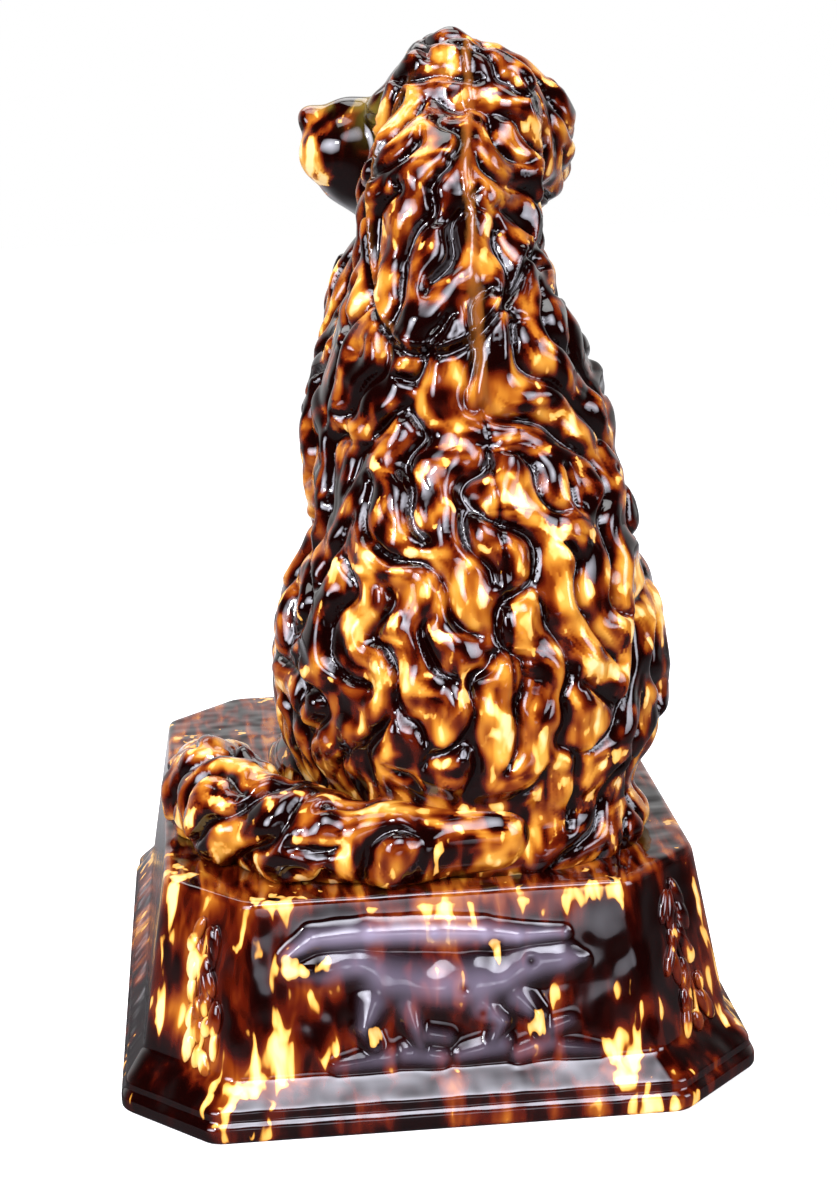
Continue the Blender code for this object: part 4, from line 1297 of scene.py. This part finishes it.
# %% Plinth with its relief
DECK_EASE = 9
DECK_TOP = PLINTH_HEIGHT / MM
DECK_THICKNESS = 9.0
VENT_CENTRE, VENT_RADIUS, VENT_SIDES = (0, 40, 0), 9.0, 32
WALL_LEAN = math.atan2(SET_IN["top"] - SET_IN["slope"], WALL_TOP - SLOPE_TOP)
SHARP = math.radians(60)


def full_section():
    """Up the inside, then round the foot, up the wall and onto the deck: (set in, height)."""
    lean = (SET_IN["top"] - SET_IN["slope"]) / (WALL_TOP - SLOPE_TOP)
    shoulder = SET_IN["top"] + lean * (DECK_TOP - WALL_TOP)
    inside = [
        (SET_IN["top"] + PLINTH_WALL, DECK_TOP - DECK_THICKNESS),
        (SET_IN["slope"] + PLINTH_WALL, SLOPE_TOP), (PLINTH_WALL, 7), (PLINTH_WALL, 0),
    ]
    wall = outer_section()[:-1]
    top = [tuple(wall[-1]), (shoulder, DECK_TOP), (shoulder + 12, DECK_TOP)]
    top = eased(resampled(top, SHOULDER_STEP), DECK_EASE)[1::2]
    far = [(shoulder + step, DECK_TOP) for step in (15, 20, 30, 45)]
    return inside, [*map(tuple, wall), *map(tuple, top), *far]


def plinth_ring(shape, set_in, height, outside):
    """One ring of points, raised by the relief, with its numbers for the glaze."""
    points, wall, along = ring(set_in)
    raised, bare, sheen = (np.zeros(len(points)) for _ in range(3))
    for side in range(8):
        reach = np.abs(along[wall == side])
        bare[wall == side] = 0.9 * smooth_step(0.62, 0.86, reach / max(reach.max(), 1)) - 0.5
    if outside and SLOPE_TOP - 2 < height < DECK_TOP - 4:
        rear = wall == REAR
        places = np.column_stack([along[rear], np.full(rear.sum(), height)])
        raised[rear] = softened(places) * smooth_step(DECK_TOP - 4, DECK_TOP - 8, height)
        bare[rear] = np.maximum(bare[rear], 1.5 * cream_on_rear(places))
        # painted sheen of reflected light on the relief, read by the glaze
        sheen[rear] = painted_sheen_on_rear(places)
    outwards = np.array([(run[1], -run[0]) for run in runs])[wall]
    plan = points + outwards * (raised * math.cos(WALL_LEAN))[:, None]
    heights = height + raised * math.sin(WALL_LEAN)
    row = [shape.verts.new((x * MM, y * MM, z * MM)) for (x, y), z in zip(plan, heights)]
    arris = (wall == CORNER) * float(outside and height < DECK_TOP - 0.5)
    shoulder = smooth_step(DECK_TOP - 8, DECK_TOP - 2, height) * (outside and set_in < 27)
    flat = smooth_step(DECK_TOP - 2.5, DECK_TOP - 0.2, height)
    return row, {
        "edge": np.maximum(arris, 0.8 * shoulder), "relief": np.clip(raised / 2.5, 0, 1),
        "flat": np.full(len(points), float(flat)), "bare": bare, "sheen": sheen,
    }


def vent_rim(shape, height):
    """A ring of edges where the vent opens below the dog, with its points in order."""
    x, y, _ = DOG @ (Vector(VENT_CENTRE) * MM)
    radius, rim = VENT_RADIUS * MM, []
    for step in range(VENT_SIDES):
        angle = 2 * math.pi * step / VENT_SIDES
        place = (x + radius * math.cos(angle), y + radius * math.sin(angle), height)
        rim.append(shape.verts.new(place))
    return rim, [shape.edges.new((rim[item - 1], rim[item])) for item in range(VENT_SIDES)]


def make_plinth():
    inside, outside = full_section()
    shape = bmesh.new()
    rows, values = zip(*(
        plinth_ring(shape, set_in, height, section is outside)
        for section in (inside, outside) for set_in, height in section
    ))
    for low, high in zip(rows, rows[1:]):
        for item in range(len(low)):
            after = (item + 1) % len(low)
            shape.faces.new((low[item], low[after], high[after], high[item]))
    vents = []
    for row, height in ((rows[0], (DECK_TOP - DECK_THICKNESS) * MM), (rows[-1], PLINTH_HEIGHT)):
        rim, rim_edges = vent_rim(shape, height)
        vents.append(rim)
        outline = [shape.edges.get((row[item - 1], row[item])) for item in range(len(row))]
        bmesh.ops.triangle_fill(shape, edges=outline + rim_edges, use_beauty=True, normal=(0, 0, 1))
    for item in range(VENT_SIDES):
        shape.faces.new((vents[0][item - 1], vents[0][item], vents[1][item], vents[1][item - 1]))
    bmesh.ops.recalc_face_normals(shape, faces=shape.faces)
    for side in shape.edges:
        side.smooth = side.calc_face_angle(0) < SHARP
    mesh = mesh_from(shape, "plinth_glazed")
    ends, spare = edge_ends(mesh), [np.zeros(2 * VENT_SIDES)]
    known = {name: np.concatenate([row[name] for row in values] + spare) for name in values[0]}
    relief = known["relief"]
    known["pool"] = np.clip(evened(relief, ends, 14) * 1.7 - 1.3 * relief, 0, 1)
    known["edge"] = 1.6 * evened(known["edge"], ends, 90)
    add_values(mesh, known)
    nodes = [f"plinth_{side}_wall" for side in ("front", "left", "rear", "right")]
    nodes += [f"plinth_{end}_{side}_corner" for end in ("front", "rear") for side in ("left", "right")]
    finish_piece("plinth_glazed", mesh, "plinth_glaze", *nodes, "plinth_deck")


make_plinth()

# %% [markdown]
# ## Foliage on the corners
#
# Each narrow corner panel carries a hanging spray: a wavy stem with drop-shaped leaves on either
# side. The stem is a path, and Geometry Nodes hang the leaves along it in turn, each a little
# larger or smaller than the last.

# %% Foliage
SPRAY_LEAVES = 26
SPRAY_SEED = 4
# wall of the ring, and how far the stem stands aside of the panel's middle, in millimetres
SPRAYS = {
    "rear_left": (3, 4.5), "rear_right": (5, 1.0), "front_left": (1, 0.0), "front_right": (7, 0.0),
}
LEAF_SIZE = (2.5, 5.2, 1.7)
LEAF_ASIDE, LEAF_OUT = 6.5 * MM, 0.4 * MM
STEM_HEIGHTS = np.linspace(3.0, 49.0, 40)
STEM_SWAY, STEM_BEND, STEM_OUT, STEM_RADIUS = 2.2, 7.5, 0.3, 0.9


def spray_tree():
    """Leaves along a stem, shifted to either side by chance and turned outwards as they are."""
    tree = bpy.data.node_groups.new("hanging_spray", "GeometryNodeTree")
    for name, kind in (
        ("Geometry", "Geometry"), ("Leaves", "Int"), ("Seed", "Int"), ("Material", "Material"),
    ):
        tree.interface.new_socket(name, in_out="INPUT", socket_type=f"NodeSocket{kind}")
    tree.interface.new_socket("Geometry", in_out="OUTPUT", socket_type="NodeSocketGeometry")
    board = Board(tree)
    node, given = board.node, tree.nodes.new("NodeGroupInput").outputs
    path, leaves, seed, glaze = (
        Wire(board, given[name]) for name in ("Geometry", "Leaves", "Seed", "Material")
    )

    def chance(low, high, step):
        limits = {"Min": low, "Max": high, "Seed": seed + float(step)}
        return node("FunctionNodeRandomValue", limits, 1, data_type="FLOAT")

    def vector(**parts):
        return node("ShaderNodeCombineXYZ", parts)

    stem = node("GeometryNodeMeshToCurve", {0: path})
    points = node("GeometryNodeCurveToPoints", {"Curve": stem, "Count": leaves}, mode="COUNT")
    shift = chance(-LEAF_ASIDE, LEAF_ASIDE, 0)
    offset = vector(X=shift, Z=chance(-LEAF_OUT, LEAF_OUT, 20))
    points = node("GeometryNodeSetPosition", {"Geometry": points, "Offset": offset})
    leaf = node("GeometryNodeMeshUVSphere", {"Segments": 14, "Rings": 9, "Radius": 1 * MM})
    leaf = node("GeometryNodeTransform", {"Geometry": leaf, "Scale": LEAF_SIZE})
    placed_leaves = node("GeometryNodeInstanceOnPoints", {
        "Points": points, "Instance": leaf, "Rotation": vector(Z=shift * 45.0 + chance(-0.3, 0.3, 40)),
        "Scale": vector(X=chance(0.7, 1.25, 60), Y=chance(0.7, 1.5, 80), Z=1.0),
    })
    section = node("GeometryNodeCurvePrimitiveCircle", {"Resolution": 8, "Radius": STEM_RADIUS * MM})
    stalk = {"Curve": stem, "Profile Curve": section, "Fill Caps": True}
    both = node("GeometryNodeJoinGeometry", {0: node("GeometryNodeCurveToMesh", stalk)})
    board.feed(both.socket.node.inputs[0], placed_leaves)
    whole = node("GeometryNodeRealizeInstances", {"Geometry": both})
    glazed = node("GeometryNodeSetMaterial", {"Geometry": whole, "Material": glaze})
    board.feed(tree.nodes.new("NodeGroupOutput").inputs["Geometry"], glazed)
    return tree


def panel_frame(wall):
    """Frame on a panel: its middle at the top of the slope, x along it, y up it and z out of it."""
    middles = []
    for set_in, height in ((SET_IN["slope"], SLOPE_TOP), (SET_IN["top"], WALL_TOP)):
        here = corners + travels * set_in
        middles.append(Vector((*(here[wall] + here[(wall + 1) % 8]) / 2, height)))
    along = Vector((*runs[wall], 0))
    up = (middles[1] - middles[0]).normalized()
    axes = Matrix((along, up, along.cross(up))).transposed()
    return Matrix.Translation(middles[0] * MM) @ axes.to_4x4()


def stem_path(name, aside):
    """The stem as a line of edges, laid out on the panel."""
    shape = bmesh.new()
    stem = []
    for height in STEM_HEIGHTS:
        sway = STEM_SWAY * math.sin(height / STEM_BEND)
        stem.append(shape.verts.new(Vector((aside + sway, height, STEM_OUT)) * MM))
    for low, high in zip(stem, stem[1:]):
        shape.edges.new((low, high))
    return put(name, mesh_from(shape, name))


def make_spray(name, wall, aside, tree):
    path = stem_path(name, aside)
    grow = path.modifiers.new("Spray", "NODES")
    grow.node_group = tree
    chosen = {"Leaves": SPRAY_LEAVES, "Seed": SPRAY_SEED + wall, "Material": GLAZES["plinth_glaze"]}
    for item in tree.interface.items_tree:
        if item.in_out == "INPUT" and item.name in chosen:
            grow[item.identifier] = chosen[item.name]
    grown = evaluated_mesh(path, name)
    bpy.data.objects.remove(path)
    out = mesh_points(grown)[:, 2] / MM
    grown.transform(panel_frame(wall))
    same = {"edge": 0.5, "flat": 0.0, "bare": 0.1, "sheen": 0.0}
    add_values(grown, {
        "relief": np.clip(out, 0, 1), "pool": np.clip(0.6 - out, 0, 0.6),
        **{value: np.full(len(out), number) for value, number in same.items()},
    })
    finish_piece(f"foliage_{name}", grown, "plinth_glaze", f"plinth_{name}_corner")


spray = spray_tree()
for name, (wall, aside) in SPRAYS.items():
    make_spray(name, wall, aside, spray)


# %% [markdown]
# ## Studio
#
# The photograph was taken on white, between large soft lamps. They show in the gloss as pale
# violet-grey veils. The room is white only to the camera. To matt clay it is an even dim light,
# and in the gloss it is dark but for a pale band, and a pale floor, beyond the dog.

# %% Lamps, floor and backdrop
FLOOR_SIDE = 6.0
FLOOR_SHADE = 0.86
FLOOR_IN_GLOSS = 0.07
FLOOR_GLOW = 0.785
ROOM_LIGHT = 0.28
BAND_LIGHT, DARK_LIGHT = 0.9, 0.008
COOL, WHITE = (0.88, 0.88, 1.0), (1.0, 1.0, 1.0)
AT_DOG, AT_WALL = (0, 0, 0.2), (-0.02, 0.14, 0.05)
SOFT_BOXES = (
    # name, place, what it is aimed at, size, power, colour, spread in degrees, shape
    ("soft_box_left", (1.0, 1.0, 0.85), AT_DOG, (0.9, 1.1), 2.9, COOL, 44, "RECTANGLE"),
    ("soft_box_right", (-1.15, 0.75, 0.7), AT_DOG, (0.6, 1.0), 1.1, COOL, 44, "RECTANGLE"),
    ("soft_box_above", (-0.1, 0.85, 1.3), AT_DOG, (1.3, 0.9), 3.3, COOL, 46, "RECTANGLE"),
    ("soft_box_top", (0.0, -0.2, 1.5), AT_DOG, (0.9, 0.7), 2.2, WHITE, 90, "RECTANGLE"),
    ("soft_box_front", (0.2, -1.2, 1.5), AT_DOG, (1.0, 0.8), 2.2, WHITE, 90, "RECTANGLE"),
    ("soft_box_low", (-0.05, 0.5, 0.105), AT_WALL, (0.34, 0.12), 0.012, COOL, 34, "ELLIPSE"),
    ("spot", (0.75, 1.1, 1.15), AT_DOG, (0.14, 0.14), 1.7, WHITE, 90, "RECTANGLE"),
)


def soft_box(name, place, aim, size, power, colour, spread, shape):
    """A soft lamp. The narrower its spread, the softer its edge is in the gloss."""
    data = bpy.data.lights.new(name, "AREA")
    data.shape = shape
    data.size, data.size_y = size
    data.energy, data.color, data.spread = power, colour, math.radians(spread)
    lamp = put(name, data)
    lamp.location = place
    lamp.rotation_euler = (Vector(place) - Vector(aim)).to_track_quat("Z", "Y").to_euler()


def make_room():
    """White to the camera, even and dim to matt clay, a pale band beyond the dog in the gloss."""
    world = bpy.data.worlds.new("white_room")
    bpy.context.scene.world = world
    world.use_nodes = True
    board = Board(world.node_tree)
    seen, matt = board.rays("Camera", "Diffuse")
    ahead, up = board.axes("Generated", "Y", "Z")
    band = (ahead * -1.0).stepped(0.0, 0.8) * (0.75 - up).stepped(0.0, 0.6)
    gloss = band * BAND_LIGHT + DARK_LIGHT
    back = board.tree.nodes["Background"].inputs
    back["Color"].default_value = (*WHITE, 1)
    board.feed(back["Strength"], seen + (1.0 - seen) * (matt * ROOM_LIGHT + (1.0 - matt) * gloss))


def make_floor():
    """White paper that glows to the camera, and is pale in the gloss only beyond the dog."""
    shape = bmesh.new()
    bmesh.ops.create_grid(shape, x_segments=1, y_segments=1, size=FLOOR_SIDE / 2)
    mesh = mesh_from(shape, "floor")
    floor = put("floor", mesh)
    floor.location.z = -0.2 * MM
    material, board = new_material("white_paper")
    board.shader.inputs["Roughness"].default_value = 0.9
    seen, gloss = board.rays("Camera", "Glossy")
    (ahead,) = board.axes("Object", "Y")
    pale, dark = (FLOOR_SHADE,) * 3, (FLOOR_IN_GLOSS,) * 3
    mirrored = board.blend((ahead * -1.0).stepped(0.05, 0.6), dark, pale)
    board.feed(board.shader.inputs["Base Color"], board.blend(gloss, pale, mirrored))
    glow = board.node("ShaderNodeEmission", {"Strength": seen * FLOOR_GLOW})
    both = board.node("ShaderNodeAddShader", {0: Wire(board, board.shader.outputs[0]), 1: glow})
    board.feed(board.tree.nodes["Material Output"].inputs["Surface"], both)
    mesh.materials.append(material)


make_room()
for lamp in SOFT_BOXES:
    soft_box(*lamp)
make_floor()
bpy.context.scene.view_settings.view_transform = "Standard"
